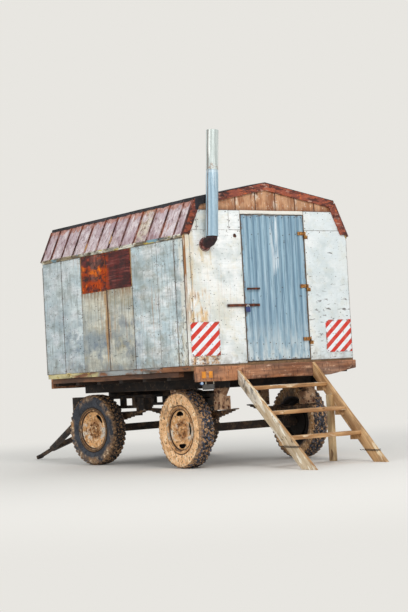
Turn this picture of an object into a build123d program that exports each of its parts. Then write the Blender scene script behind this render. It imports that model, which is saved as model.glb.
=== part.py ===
# A tin-clad living wagon on a two-axle farm trailer chassis.
# Millimetres, +Z up. The door end faces -Y, the drawbar end faces +Y, the ground is Z = 0.
# The whole wagon is drawn with the door end's outer face at Y = 0 and is then moved so
# that the origin lies on the ground under the middle of its outer box.
from build123d import *
import math
import os

os.makedirs("parts", exist_ok=True)

# Cabin
CABIN_WIDTH = 2534.0
CABIN_LENGTH = 3600.0
WALL = 60.0
ROOF = 50.0
FLOOR_TOP = 1279.0
FLOOR_THICK = 74.0
EAVE_Z = 2860.0
BREAK_X = 1068.0
BREAK_Z = 3298.0
RIDGE_Z = 3506.0
GABLE_BOARD_Z = 3160.0
GABLE_BOARD_COUNT = 7
BOARD_GAP = 1.0

# Windows, boarded over with rusty sheet on both long sides
WINDOW_FROM_Y = 1290.0
WINDOW_TO_Y = 2450.0
WINDOW_FROM_Z = 2375.0
WINDOW_TO_Z = 2800.0
PATCH_LAP = 60.0
PATCH_THICK = 4.0

# Door, hinged on its right edge and opening outwards
DOOR_LEFT = -400.0
DOOR_RIGHT = 580.0
DOOR_TOP = 3110.0
DOOR_THICK = 40.0
DOOR_GAP = 6.0
DOOR_SKIN = 14.0
CORRUGATION_COUNT = 10
CORRUGATION_DEPTH = 12.0
HINGE_ZS = (1513.0, 2183.0, 2851.0)
HINGE_OUT = 26.0
HINGE_RADIUS = 11.0
HINGE_HEIGHT = 90.0
HINGE_PIN_RADIUS = 5.0
HINGE_STRAP = 110.0
HINGE_PLATE = 6.0
PIN_CLEARANCE = 0.3
HANDLE_Z = 2182.0
HANDLE_FROM_X = -373.0
HANDLE_TO_X = -180.0
HANDLE_OUT = 30.0
HANDLE_BAR = 10.0
HANDLE_HEIGHT = 24.0
HANDLE_FOOT = 20.0
HASP_Z = 1980.0
HASP_FROM_X = -674.0
HASP_TO_X = -184.0
HASP_BAR = 8.0
HASP_HEIGHT = 34.0
HASP_OFF_DOOR = 6.0
PADLOCK_X = -378.0
PADLOCK_WIDTH = 52.0
PADLOCK_HEIGHT = 62.0
PADLOCK_THICK = 22.0

# Boards round the roof edge and along the eaves
BARGE_WIDTH = 90.0
BARGE_THICK = 24.0
EAVE_STRIP_HEIGHT = 45.0
EAVE_STRIP_THICK = 18.0

# Folded seams that stand up the steep roof
SEAM_COUNT = 11
SEAM_NEAR_END = 178.0
SEAM_FAR_END = 252.0
SEAM_THICK = 8.0
SEAM_HEIGHT = 20.0
SEAM_OVER_EAVE = 30.0
SEAM_UNDER_FELT = 60.0

# Striped warning boards beside the door: from x, to x, from z, to z
WARNING_BOARDS = (
    (-1220.0, -800.0, 1378.0, 1788.0),
    (845.0, 1258.0, 1355.0, 1768.0),
)
WARNING_THICK = 8.0

# Stovepipe
PIPE_RADIUS = 75.0
PIPE_WALL = 3.0
PIPE_OUT = 155.0
PIPE_FOOT_X = -938.0
PIPE_FOOT_Z = 2815.0
PIPE_JOINT_Z = 3620.0
PIPE_TOP_Z = 4110.0
PIPE_LEAN = 4.0
ELBOW_BEND = 84.0
ELBOW_WALL = 1.5
ELBOW_COLLAR_RADIUS = 88.0
ELBOW_COLLAR_THICK = 6.0

# Timber under the cabin
SIDE_BOARD_THICK = 22.0
SIDE_RAIL_HEIGHT = 65.0
SIDE_RAIL_THICK = 80.0
SIDE_RAIL_IN = 27.0
SIDE_RAIL_FROM_Y = 280.0
SIDE_RAIL_TO_Y = 3530.0
BEARER_COUNT = 7
BEARER_WIDTH = 90.0
END_BEAM_THICK = 55.0
END_BEAM_TOP = 1245.0
END_BEAM_BOTTOM = 1070.0
END_BEAM_IN = 67.0
END_BEAM_TIP_Z = 1142.0
END_BEAM_TAPER = 420.0

# Lamp and its bracket under the end beam
LAMP_X = -1121.5
LAMP_RADIUS = 20.0
LAMP_DEPTH = 34.0
BRACKET_STRAPS = (-1072.0, -958.0)
BRACKET_STRAP_WIDTH = 12.0
BRACKET_STRAP_THICK = 6.0
BRACKET_FROM_X = -1096.0
BRACKET_TO_X = -955.0
BRACKET_BOTTOM = 970.0
BRACKET_TOP = 1034.0
BRACKET_DEPTH = 40.0

# Chassis
RAIL_X = 660.0
RAIL_WIDTH = 60.0
RAIL_TOP = 1100.0
RAIL_BOTTOM = 980.0
STEEL = 8.0
CROSS_FIRST_Y = 60.0
CROSS_BETWEEN = 2
CROSS_WIDTH = 80.0

# Wheels and axles
TYRE_RADIUS = 481.0
TYRE_WIDTH = 235.0
BEAD_RADIUS = 256.0
FLANGE_RADIUS = 298.0
RIM_WIDTH = 168.0
RIM_STEEL = 8.0
SEAT_GAP = 0.3
TRACK = 1780.0
TYRE_SIDES = 26
TYRE_NOTCH = 46.0
TYRE_NOTCH_DEEP = 40.0
# The tyre's outer line: in from its side, and in from its tread
TYRE_LINE = ((0.0, 105.0), (3.0, 50.0), (12.0, 0.0))
TYRE_BEAD_GAP = 4.0
REAR_AXLE_Y = 722.0
FRONT_OVERHANG = 478.0
AXLE_SQUARE = 100.0
AXLE_STUB_RADIUS = 30.0
HUB_RADIUS = 62.0
HUB_FLANGE_RADIUS = 125.0
DRUM_RADIUS = 185.0
DRUM_WIDTH = 90.0
STUD_CIRCLE = 95.0
STUD_COUNT = 8
STUD_RADIUS = 14.0
VENT_COUNT = 4
VENT_CIRCLE = 203.0
VENT_LONG = 150.0
VENT_WIDE = 58.0

# Leaf springs
SPRING_X = 620.0
SPRING_WIDTH = 75.0
SPRING_TOP = 690.0
SPRING_CAMBER_RADIUS = 8000.0
LEAF_COUNT = 9
LEAF_THICK = 14.0
LEAF_HALF_LONGEST = 742.0
LEAF_HALF_SHORTEST = 120.0
CLAMP_LENGTH = 150.0
CLAMP_PLATE = 18.0
U_BOLT_RADIUS = 9.0
HANGER_LENGTH = 150.0
HANGER_WIDTH = 150.0
HANGER_WAIST = 0.62
REAR_HANGER_REACH = 497.0
FRONT_HANGER_REACH = 660.0

# Turntable and bogie under the drawbar end
STEER_REST = 10.0
RING_RADIUS = 510.0
RING_BAND = 70.0
RING_THICK = 25.0
RING_GAP = 0.5
KINGPIN_RADIUS = 25.0
BOGIE_X = 600.0
BOGIE_RAIL_HEIGHT = 45.0
BOGIE_RAIL_WIDTH = 60.0
BOGIE_HALF_LENGTH = 850.0
BOGIE_CROSS_Y = 475.0
BOGIE_CROSS_WIDTH = 90.0
LOWER_BAR_TOP = 790.0
LOWER_BAR_HEIGHT = 40.0
LOWER_BAR_HALF = 520.0
POST_YS = (-480.0, -230.0, 230.0, 480.0)
POST_LENGTH = 75.0
CHEEK_LENGTH = 90.0

# Drawbar, hinged at the bogie and lying with its eye on the ground
DRAWBAR_HINGE_OUT = 55.0
DRAWBAR_HINGE_Z = 640.0
DRAWBAR_LUG_X = 380.0
DRAWBAR_PIN_RADIUS = 16.0
DRAWBAR_LENGTH = 1700.0
DRAWBAR_TUBE = 70.0
DRAWBAR_LEG_MEET = 1380.0
DRAWBAR_TIE = 520.0
EYE_BORE_RADIUS = 25.0
EYE_RADIUS = 55.0
EYE_THICK = 40.0
LUG_THICK = 20.0
LUG_GAP = 5.0

# Steps: each plank's x, the top and low ends of its upright cut, the front and back of its foot
STRINGERS = (
    (-580.0, 1190.0, 1020.0, -1490.0, -1225.0),
    (580.0, 1240.0, 1060.0, -1370.0, -1135.0),
)
STRINGER_THICK = 40.0
TREAD_DEPTH = 205.0
TREAD_THICK = 45.0
# Treads: top z, front edge y
TREADS = ((980.0, -325.0), (675.0, -665.0), (375.0, -935.0))
CLEAT_HEIGHT = 60.0
CLEAT_DEPTH = 130.0
CLEAT_THICK = 38.0
POST_WIDTH = 50.0
POST_DEPTH = 100.0
POST_BACK_Y = -345.0
POST_TOP = 820.0

# Amber reflectors on the end beam: from x, to x
REFLECTORS = ((-1128.0, -1071.0), (-1026.0, -972.0))
REFLECTOR_FROM_Z = 1110.0
REFLECTOR_TO_Z = 1190.0
REFLECTOR_THICK = 8.0

# Worked out from the sizes above
HALF = CABIN_WIDTH / 2
FLOOR_BOTTOM = FLOOR_TOP - FLOOR_THICK
END_BEAM_LEFT = END_BEAM_IN - HALF
END_BEAM_RIGHT = HALF
FRONT_AXLE_Y = CABIN_LENGTH - FRONT_OVERHANG
DRAWBAR_HINGE_Y = BOGIE_HALF_LENGTH + DRAWBAR_HINGE_OUT
HUB_Z = TYRE_RADIUS
RING_TOP = RAIL_BOTTOM
LOWER_RING_TOP = RING_TOP - RING_THICK - RING_GAP
BOGIE_TOP = LOWER_RING_TOP - RING_THICK
BOGIE_BOTTOM = BOGIE_TOP - BOGIE_RAIL_HEIGHT
SPRING_BOTTOM = SPRING_TOP - LEAF_COUNT * LEAF_THICK
AXLE_TOP = HUB_Z + AXLE_SQUARE / 2
HINGE_X = DOOR_RIGHT
HINGE_Y = -HINGE_OUT


def block(x0, x1, y0, y1, z0, z1):
    """A box between two corners."""
    centre = Pos((x0 + x1) / 2, (y0 + y1) / 2, (z0 + z1) / 2)
    return centre * Box(abs(x1 - x0), abs(y1 - y0), abs(z1 - z0))


def prism_y(outline, y0, y1):
    """An outline of (x, z) points, drawn out from y0 to y1."""
    face = make_face(Polyline(*[(x, y0, z) for x, z in outline], close=True))
    return extrude(face, amount=y1 - y0, dir=(0, 1, 0))


def prism_x(outline, x0, x1):
    """An outline of (y, z) points, drawn out from x0 to x1."""
    face = make_face(Polyline(*[(x0, y, z) for y, z in outline], close=True))
    return extrude(face, amount=x1 - x0, dir=(1, 0, 0))


def prism_z(outline, z0, z1):
    """An outline of (x, y) points, drawn up from z0 to z1."""
    face = make_face(Polyline(*[(x, y, z0) for x, y in outline], close=True))
    return extrude(face, amount=z1 - z0, dir=(0, 0, 1))


def rod_x(x0, x1, y, z, radius):
    """A round bar along X."""
    return Pos((x0 + x1) / 2, y, z) * Rot(0, 90, 0) * Cylinder(radius, abs(x1 - x0))


def rod_z(x, y, z0, z1, radius):
    """A round bar along Z."""
    return Pos(x, y, (z0 + z1) / 2) * Cylinder(radius, z1 - z0)


def both_sides(shape):
    """A shape and its mirror image on the other side of the wagon."""
    return [shape, mirror(shape, about=Plane.YZ)]


def cut_line(p, q, offset):
    """The line from p to q moved to its right by an offset, as a point and a direction."""
    dx, dz = q[0] - p[0], q[1] - p[1]
    long = math.hypot(dx, dz)
    return (p[0] + offset * dz / long, p[1] - offset * dx / long), (dx, dz)


def meet(line_a, line_b):
    """The point where two lines cross."""
    (ax, az), (au, av) = line_a
    (bx, bz), (bu, bv) = line_b
    t = ((bx - ax) * bv - (bz - az) * bu) / (au * bv - av * bu)
    return (ax + t * au, az + t * av)


# The roof's outer line from the left eave over the ridge to the right eave
ROOF_LINE = (
    (-HALF, EAVE_Z),
    (-BREAK_X, BREAK_Z),
    (0.0, RIDGE_Z),
    (BREAK_X, BREAK_Z),
    (HALF, EAVE_Z),
)


def roof_offset(depth):
    """The roof's line moved inwards by a depth, with its ends level with the eaves."""
    level = ((0.0, EAVE_Z), (1.0, 0.0))
    sides = [cut_line(p, q, depth) for p, q in zip(ROOF_LINE, ROOF_LINE[1:])]
    points = [meet(sides[0], level)]
    points += [meet(a, b) for a, b in zip(sides, sides[1:])]
    return points + [meet(sides[-1], level)]


CEILING_LINE = roof_offset(ROOF)


def ceiling_x(z):
    """Half the width under the steep roof slope at a height."""
    (x0, z0), (x1, z1) = CEILING_LINE[3], CEILING_LINE[4]
    return x0 + (x1 - x0) * (z - z0) / (z1 - z0)


def floor():
    """The planked floor between its painted edge boards."""
    side = HALF - SIDE_BOARD_THICK
    return block(-side, side, 0, CABIN_LENGTH, FLOOR_BOTTOM, FLOOR_TOP)


def side_boards():
    """The painted boards that close the floor's long edges."""
    side = HALF - SIDE_BOARD_THICK
    return both_sides(block(-HALF, -side, 0, CABIN_LENGTH, FLOOR_BOTTOM, FLOOR_TOP))


def side_wall(side):
    """A long wall between the end walls, with its window cut."""
    outer = side * HALF
    inner = side * (HALF - WALL)
    wall = block(outer, inner, WALL, CABIN_LENGTH - WALL, FLOOR_TOP, EAVE_Z)
    hole = block(outer - side, inner - side, WINDOW_FROM_Y, WINDOW_TO_Y, WINDOW_FROM_Z, WINDOW_TO_Z)
    return wall - Pos(side, 0, 0) * hole - hole


def window_patches():
    """Two rusty sheets over each window, nailed to the wall's face."""
    middle = (WINDOW_FROM_Y + WINDOW_TO_Y) / 2
    spans = (
        (WINDOW_FROM_Y - PATCH_LAP, middle - BOARD_GAP / 2),
        (middle + BOARD_GAP / 2, WINDOW_TO_Y + PATCH_LAP),
    )
    low = WINDOW_FROM_Z - PATCH_LAP
    top = EAVE_Z - EAVE_STRIP_HEIGHT - BOARD_GAP
    sheets = [block(-HALF - PATCH_THICK, -HALF, a, b, low, top) for a, b in spans]
    return [part for sheet in sheets for part in both_sides(sheet)]


def end_wall_far():
    """The blank wall at the drawbar end."""
    outline = [(-HALF, FLOOR_TOP), (-HALF, EAVE_Z), *CEILING_LINE, (HALF, EAVE_Z), (HALF, FLOOR_TOP)]
    return prism_y(outline, CABIN_LENGTH - WALL, CABIN_LENGTH)


def end_wall_beside_door(side):
    """A panel of the door end, from the door's opening to the corner."""
    jamb = DOOR_LEFT - DOOR_GAP / 2 if side < 0 else DOOR_RIGHT + DOOR_GAP / 2
    outline = [
        (jamb, FLOOR_TOP),
        (side * HALF, FLOOR_TOP),
        (side * HALF, EAVE_Z),
        (side * CEILING_LINE[4][0], EAVE_Z),
        (side * ceiling_x(GABLE_BOARD_Z), GABLE_BOARD_Z),
        (jamb, GABLE_BOARD_Z),
    ]
    return prism_y(outline, 0, WALL)


def door_header():
    """The white head over the door."""
    left = DOOR_LEFT - DOOR_GAP / 2
    right = DOOR_RIGHT + DOOR_GAP / 2
    return block(left, right, 0, WALL, DOOR_TOP + DOOR_GAP / 2, GABLE_BOARD_Z)


def gable_boards():
    """Short varnished boards side by side between the sheet and the roof."""
    wide = ceiling_x(GABLE_BOARD_Z)
    gable = prism_y([(-wide, GABLE_BOARD_Z), *CEILING_LINE[1:4], (wide, GABLE_BOARD_Z)], 0, WALL)
    pitch = 2 * wide / GABLE_BOARD_COUNT
    boards = []
    for number in range(GABLE_BOARD_COUNT):
        left = -wide + number * pitch + BOARD_GAP / 2
        strip = block(left, left + pitch - BOARD_GAP, 0, WALL, GABLE_BOARD_Z, RIDGE_Z)
        boards.append(gable & strip)
    return boards


def roof_panel(number):
    """One of the roof's four flat panels, with mitred edges."""
    outline = [
        ROOF_LINE[number],
        ROOF_LINE[number + 1],
        CEILING_LINE[number + 1],
        CEILING_LINE[number],
    ]
    return prism_y(outline, 0, CABIN_LENGTH)


def steep_roof(side):
    """A steep panel with the folded seams of its sheets standing up it."""
    (foot_x, foot_z), (top_x, top_z) = ROOF_LINE[0], ROOF_LINE[1]
    long = math.hypot(top_x - foot_x, top_z - foot_z)
    up = ((top_x - foot_x) / long, (top_z - foot_z) / long)
    out = (-up[1], up[0])
    ends = (SEAM_OVER_EAVE, long - SEAM_UNDER_FELT)
    corners = [(end, height) for end, height in zip(ends + ends[::-1], (-1, -1, SEAM_HEIGHT, SEAM_HEIGHT))]
    outline = [(foot_x + up[0] * a + out[0] * h, foot_z + up[1] * a + out[1] * h) for a, h in corners]
    pitch = (CABIN_LENGTH - SEAM_NEAR_END - SEAM_FAR_END) / (SEAM_COUNT - 1)
    panel = roof_panel(0)
    for number in range(SEAM_COUNT):
        y = SEAM_NEAR_END + number * pitch
        panel += prism_y(outline, y - SEAM_THICK / 2, y + SEAM_THICK / 2)
    return panel if side < 0 else mirror(panel, about=Plane.YZ)


def eave_strips():
    """A thin painted strip under each eave."""
    outer = HALF + EAVE_STRIP_THICK
    strip = block(-outer, -HALF, 0, CABIN_LENGTH, EAVE_Z - EAVE_STRIP_HEIGHT, EAVE_Z)
    return both_sides(strip)


def bargeboards():
    """Boards that follow the roof's edge on both ends."""
    inner = roof_offset(BARGE_WIDTH)
    boards = []
    for y0 in (-BARGE_THICK, CABIN_LENGTH):
        for number in range(4):
            outline = [ROOF_LINE[number], ROOF_LINE[number + 1], inner[number + 1], inner[number]]
            board = prism_y(outline, y0, y0 + BARGE_THICK)
            joint = Pos(ROOF_LINE[number + 1][0], y0, BREAK_Z)
            boards.append(board - joint * Box(BOARD_GAP, 4 * BARGE_THICK, 4 * BARGE_WIDTH))
    return boards


def warning_boards():
    """The square boards for the stripes, on both sides of the door."""
    return [block(x0, x1, -WARNING_THICK, 0, z0, z1) for x0, x1, z0, z1 in WARNING_BOARDS]


DOOR_LEAF_LEFT = DOOR_LEFT + DOOR_GAP / 2
DOOR_LEAF_RIGHT = DOOR_RIGHT - DOOR_GAP / 2
CORRUGATION_PITCH = (DOOR_LEAF_RIGHT - DOOR_LEAF_LEFT) / CORRUGATION_COUNT


def door_panel():
    """The door's leaf with its corrugated sheet, a crest in the middle of each pitch."""
    low = FLOOR_TOP + DOOR_GAP
    crest = -DOOR_SKIN
    trough = CORRUGATION_DEPTH - DOOR_SKIN
    level = (crest + trough) / 2
    quarter = CORRUGATION_PITCH / 4
    start = DOOR_LEAF_LEFT + quarter
    edges = [
        Line((start, level, low), (DOOR_LEAF_LEFT, level, low)),
        Line((DOOR_LEAF_LEFT, level, low), (DOOR_LEAF_LEFT, DOOR_THICK, low)),
        Line((DOOR_LEAF_LEFT, DOOR_THICK, low), (DOOR_LEAF_RIGHT, DOOR_THICK, low)),
        Line((DOOR_LEAF_RIGHT, DOOR_THICK, low), (DOOR_LEAF_RIGHT, level, low)),
        Line((DOOR_LEAF_RIGHT, level, low), (DOOR_LEAF_RIGHT - quarter, level, low)),
    ]
    for number in range(2 * CORRUGATION_COUNT - 1):
        x = start + 2 * number * quarter
        peak = trough if number % 2 else crest
        edges.append(ThreePointArc((x, level, low), (x + quarter, peak, low), (x + 2 * quarter, level, low)))
    return extrude(make_face(edges), amount=DOOR_TOP - DOOR_GAP / 2 - low, dir=(0, 0, 1))


def door_seat(x0, x1):
    """How far forward the corrugated sheet reaches between two places."""
    pitches = math.floor((x1 - DOOR_LEAF_LEFT) / CORRUGATION_PITCH - 0.5)
    crest_x = DOOR_LEAF_LEFT + (pitches + 0.5) * CORRUGATION_PITCH
    return -DOOR_SKIN if crest_x >= x0 else min(door_face(x0), door_face(x1))


def door_face(x):
    """How far forward the corrugated sheet stands at x."""
    quarter = CORRUGATION_PITCH / 4
    rise = CORRUGATION_DEPTH / 2
    radius = (quarter ** 2 + rise ** 2) / (2 * rise)
    turn, along = divmod(x - DOOR_LEAF_LEFT - quarter, 2 * quarter)
    arch = math.sqrt(radius ** 2 - (along - quarter) ** 2) - (radius - rise)
    return rise - DOOR_SKIN + (arch if turn % 2 else -arch)


def hinge_straps():
    """The door's half of each hinge: a strap with the upper knuckle."""
    straps = []
    for z in HINGE_ZS:
        knuckle = rod_z(HINGE_X, HINGE_Y, z + PIN_CLEARANCE, z + HINGE_HEIGHT / 2, HINGE_RADIUS)
        bore = rod_z(HINGE_X, HINGE_Y, z - 1, z + HINGE_HEIGHT, HINGE_PIN_RADIUS + PIN_CLEARANCE)
        y0 = -DOOR_SKIN - HINGE_PLATE
        plate = block(HINGE_X - HINGE_STRAP, HINGE_X, y0, -DOOR_SKIN,
                      z + PIN_CLEARANCE, z + HINGE_HEIGHT / 2)
        straps.append(knuckle + plate - bore)
    return straps


def hinge_plates():
    """The wall's half of each hinge: a plate, the lower knuckle and the pin."""
    plates = []
    for z in HINGE_ZS:
        low = z - HINGE_HEIGHT / 2
        knuckle = rod_z(HINGE_X, HINGE_Y, low, z, HINGE_RADIUS)
        pin = rod_z(HINGE_X, HINGE_Y, low, z + HINGE_HEIGHT / 2, HINGE_PIN_RADIUS)
        edge = HINGE_X + DOOR_GAP / 2
        neck = block(edge, edge + HINGE_PLATE, HINGE_Y, 0, low, z)
        leaf = block(edge, edge + HINGE_STRAP / 2, -HINGE_PLATE, 0, low, z)
        plates.append(knuckle + pin + neck + leaf)
    return plates


def door_handle():
    """A rusty grab bar on two feet."""
    y0 = -DOOR_SKIN - HANDLE_OUT
    low, high = HANDLE_Z - HANDLE_HEIGHT / 2, HANDLE_Z + HANDLE_HEIGHT / 2
    handle = block(HANDLE_FROM_X, HANDLE_TO_X, y0, y0 + HANDLE_BAR, low, high)
    for x in (HANDLE_FROM_X + HANDLE_FOOT / 2, HANDLE_TO_X - 3 * HANDLE_FOOT / 2):
        handle += block(x, x + HANDLE_FOOT, y0, door_seat(x, x + HANDLE_FOOT), low, high)
    return handle


def hasp_bar():
    """The long flat bar across the door's closing edge."""
    y1 = -DOOR_SKIN - HASP_OFF_DOOR
    z0 = HASP_Z - HASP_HEIGHT / 2
    bar = block(HASP_FROM_X, HASP_TO_X, y1 - HASP_BAR, y1, z0, z0 + HASP_HEIGHT)
    foot = block(HASP_TO_X - 90, HASP_TO_X - 20, y1, -DOOR_SKIN, z0, z0 + HASP_HEIGHT)
    return bar + foot


def padlock():
    """A padlock hanging under the bar, its shackle over the bar's front."""
    y0 = -DOOR_SKIN - HASP_OFF_DOOR - HASP_BAR - PADLOCK_THICK
    top = HASP_Z - HASP_HEIGHT / 2 - 8
    x0 = PADLOCK_X - PADLOCK_WIDTH / 2
    case = block(x0, x0 + PADLOCK_WIDTH, y0, y0 + PADLOCK_THICK, top - PADLOCK_HEIGHT, top)
    arch = block(x0 + 8, x0 + PADLOCK_WIDTH - 8, y0 + 6, y0 + 14, top, top + 30)
    window = block(x0 + 16, x0 + PADLOCK_WIDTH - 16, y0, y0 + 20, top, top + 22)
    tie = block(x0 + 16, x0 + PADLOCK_WIDTH - 16, y0 + 14, y0 + PADLOCK_THICK, top + 22, top + 30)
    return case + (arch - window) + tie


def reflectors():
    """Two amber plates on the end beam's face."""
    y1 = -END_BEAM_THICK
    return [block(x0, x1, y1 - REFLECTOR_THICK, y1, REFLECTOR_FROM_Z, REFLECTOR_TO_Z)
            for x0, x1 in REFLECTORS]


def pipe_axis_x(z):
    """The leaning stovepipe's middle at a height."""
    return PIPE_FOOT_X + (z - PIPE_FOOT_Z) * math.tan(math.radians(PIPE_LEAN))


def pipe_length(z0, z1, radius, wall):
    """A length of leaning pipe between two heights along its axis."""
    long = (z1 - z0) / math.cos(math.radians(PIPE_LEAN))
    tube = Cylinder(radius, long) - Cylinder(radius - wall, 2 * long)
    middle = (z0 + z1) / 2
    return Pos(pipe_axis_x(middle), -PIPE_OUT, middle) * Rot(0, PIPE_LEAN, 0) * tube


def stovepipe_lower():
    """The bluish lower length, standing in the elbow."""
    return pipe_length(PIPE_FOOT_Z, PIPE_JOINT_Z, PIPE_RADIUS, PIPE_WALL)


def stovepipe_upper():
    """The pale upper length, butted on the lower one."""
    return pipe_length(PIPE_JOINT_Z, PIPE_TOP_Z, PIPE_RADIUS, PIPE_WALL)


def stove_elbow():
    """The iron elbow from its collar on the wall up to the pipe, mitred from three lengths."""
    lean = math.radians(PIPE_LEAN)
    foot = Vector(PIPE_FOOT_X, -PIPE_OUT, PIPE_FOOT_Z)
    up = Vector(math.sin(lean), 0, math.cos(lean))
    corner = foot - up * ELBOW_BEND
    # Two mitres share the quarter turn, so each stands this far from the corner
    mitre = ELBOW_BEND * (1 - math.tan(math.pi / 8))
    wall = corner + Vector(0, PIPE_OUT, 0)
    path = Polyline(wall, corner + Vector(0, mitre, 0), corner + up * mitre, foot)
    ring_plane = Plane(origin=wall, z_dir=(0, -1, 0))
    outer, inner = [sweep(ring_plane * Circle(radius), path=path, transition=Transition.RIGHT)
                    for radius in (PIPE_RADIUS, PIPE_RADIUS - ELBOW_WALL)]
    collar = extrude(ring_plane * Circle(ELBOW_COLLAR_RADIUS), amount=ELBOW_COLLAR_THICK)
    return outer + collar - inner


def side_rails():
    """The long timbers under the floor's edges."""
    outer = HALF - SIDE_RAIL_IN
    rail = block(-outer, -outer + SIDE_RAIL_THICK, SIDE_RAIL_FROM_Y, SIDE_RAIL_TO_Y,
                 FLOOR_BOTTOM - SIDE_RAIL_HEIGHT, FLOOR_BOTTOM)
    return both_sides(rail)


def bearers():
    """Cross timbers that carry the floor on the steel rails."""
    reach = HALF - SIDE_RAIL_IN - SIDE_RAIL_THICK - BOARD_GAP
    pitch = (CABIN_LENGTH - BEARER_WIDTH) / (BEARER_COUNT - 1)
    return [block(-reach, reach, n * pitch, n * pitch + BEARER_WIDTH, RAIL_TOP, FLOOR_BOTTOM)
            for n in range(BEARER_COUNT)]


def end_beam_door():
    """The heavy timber under the door, cut away at its right end."""
    outline = [
        (END_BEAM_LEFT, END_BEAM_BOTTOM),
        (END_BEAM_LEFT, END_BEAM_TOP),
        (END_BEAM_RIGHT, END_BEAM_TOP),
        (END_BEAM_RIGHT, END_BEAM_TIP_Z),
        (END_BEAM_RIGHT - END_BEAM_TAPER, END_BEAM_BOTTOM),
    ]
    return prism_y(outline, -END_BEAM_THICK, 0)


def end_beam_far():
    """The matching timber at the drawbar end."""
    return block(END_BEAM_LEFT, -END_BEAM_LEFT, CABIN_LENGTH, CABIN_LENGTH + END_BEAM_THICK,
                 END_BEAM_BOTTOM, END_BEAM_TOP)


def lamp_bracket():
    """A small steel box hung under the end beam on two flat straps."""
    back = -END_BEAM_THICK / 2 + BRACKET_DEPTH / 2
    bracket = block(BRACKET_FROM_X, BRACKET_TO_X, back - BRACKET_DEPTH, back, BRACKET_BOTTOM, BRACKET_TOP)
    half = BRACKET_STRAP_WIDTH / 2
    for x in BRACKET_STRAPS:
        bracket += block(x - half, x + half, back - BRACKET_DEPTH - BRACKET_STRAP_THICK, back - BRACKET_DEPTH,
                         BRACKET_BOTTOM, END_BEAM_BOTTOM)
    return bracket


def side_lamp():
    """A small round lamp under the end beam's left end, facing forwards."""
    middle = -END_BEAM_THICK / 2
    centre_z = END_BEAM_BOTTOM - LAMP_RADIUS
    lamp = Pos(LAMP_X, middle, centre_z) * Rot(90, 0, 0) * Cylinder(LAMP_RADIUS, LAMP_DEPTH)
    half = LAMP_RADIUS / 2
    return lamp + block(LAMP_X - half, LAMP_X + half, middle - half, middle + half, centre_z, END_BEAM_BOTTOM)


def channel_y(x, side, y0, y1, z0, z1):
    """A steel channel along Y, its web on one side and its flanges towards the middle."""
    half = RAIL_WIDTH / 2
    whole = block(x - half, x + half, y0, y1, z0, z1)
    gap = block(x - half, x + half, y0, y1, z0 + STEEL, z1 - STEEL)
    return whole - Pos(-side * STEEL, 0, 0) * gap


def hanger(x, y, top, bottom):
    """A cast spring hanger: an upright that spreads towards the rail, over the box on the spring."""
    waist = bottom + HANGER_WAIST * (top - bottom)
    long, half = HANGER_LENGTH / 2, HANGER_WIDTH / 2
    # From the side the upright narrows behind, and from the front towards the wagon's middle
    beside = [(y - long, bottom), (y + long, bottom), (y + long, waist), (y + 0.6 * long, waist),
              (y + long, top), (y - long, top)]
    way = 1 if x < 0 else -1
    ahead = [(x - way * half, bottom), (x + way * half, bottom), (x + way * half, waist),
             (x + way * 0.25 * half, waist), (x + way * half, top), (x - way * half, top)]
    return prism_x(beside, x - half, x + half) & prism_y(ahead, y - long, y + long)


def chassis_rails():
    """The two long channels with the rear springs' hangers riveted under them."""
    foot = leaf_top(REAR_HANGER_REACH + HANGER_LENGTH / 2) + SEAT_GAP
    rails = []
    for side in (-1, 1):
        rail = channel_y(side * RAIL_X, side, 0, CABIN_LENGTH, RAIL_BOTTOM, RAIL_TOP)
        for y in (REAR_AXLE_Y - REAR_HANGER_REACH, REAR_AXLE_Y + REAR_HANGER_REACH):
            rail += hanger(side * RAIL_X, y, RAIL_BOTTOM, foot)
        rails.append(rail)
    return rails


def cross_members():
    """Channels between the long rails, flush with their undersides, one with the kingpin."""
    reach = RAIL_X - RAIL_WIDTH / 2
    half = CROSS_WIDTH / 2
    ring_reach = RING_RADIUS - RING_BAND / 2 - half
    ring_ys = (FRONT_AXLE_Y - ring_reach, FRONT_AXLE_Y, FRONT_AXLE_Y + ring_reach)
    pitch = (ring_ys[0] - REAR_AXLE_Y) / (CROSS_BETWEEN + 1)
    ys = (CROSS_FIRST_Y,) + tuple(REAR_AXLE_Y + n * pitch for n in range(CROSS_BETWEEN + 1)) + ring_ys
    members = []
    for y in ys:
        whole = block(-reach, reach, y - half, y + half, RAIL_BOTTOM, RAIL_TOP - STEEL)
        gap = block(-reach, reach, y - half, y + half - STEEL, RAIL_BOTTOM + STEEL,
                    RAIL_TOP - 2 * STEEL)
        member = whole - gap
        if y == FRONT_AXLE_Y:
            low = BOGIE_BOTTOM - CLAMP_PLATE
            member += rod_z(0, y, low, RAIL_BOTTOM + STEEL, KINGPIN_RADIUS)
        members.append(member)
    return members


def leaf_top(reach):
    """The height of a spring's upper face at a distance from its axle."""
    rise = SPRING_CAMBER_RADIUS - math.sqrt(SPRING_CAMBER_RADIUS ** 2 - reach ** 2)
    return SPRING_TOP + rise


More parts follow.
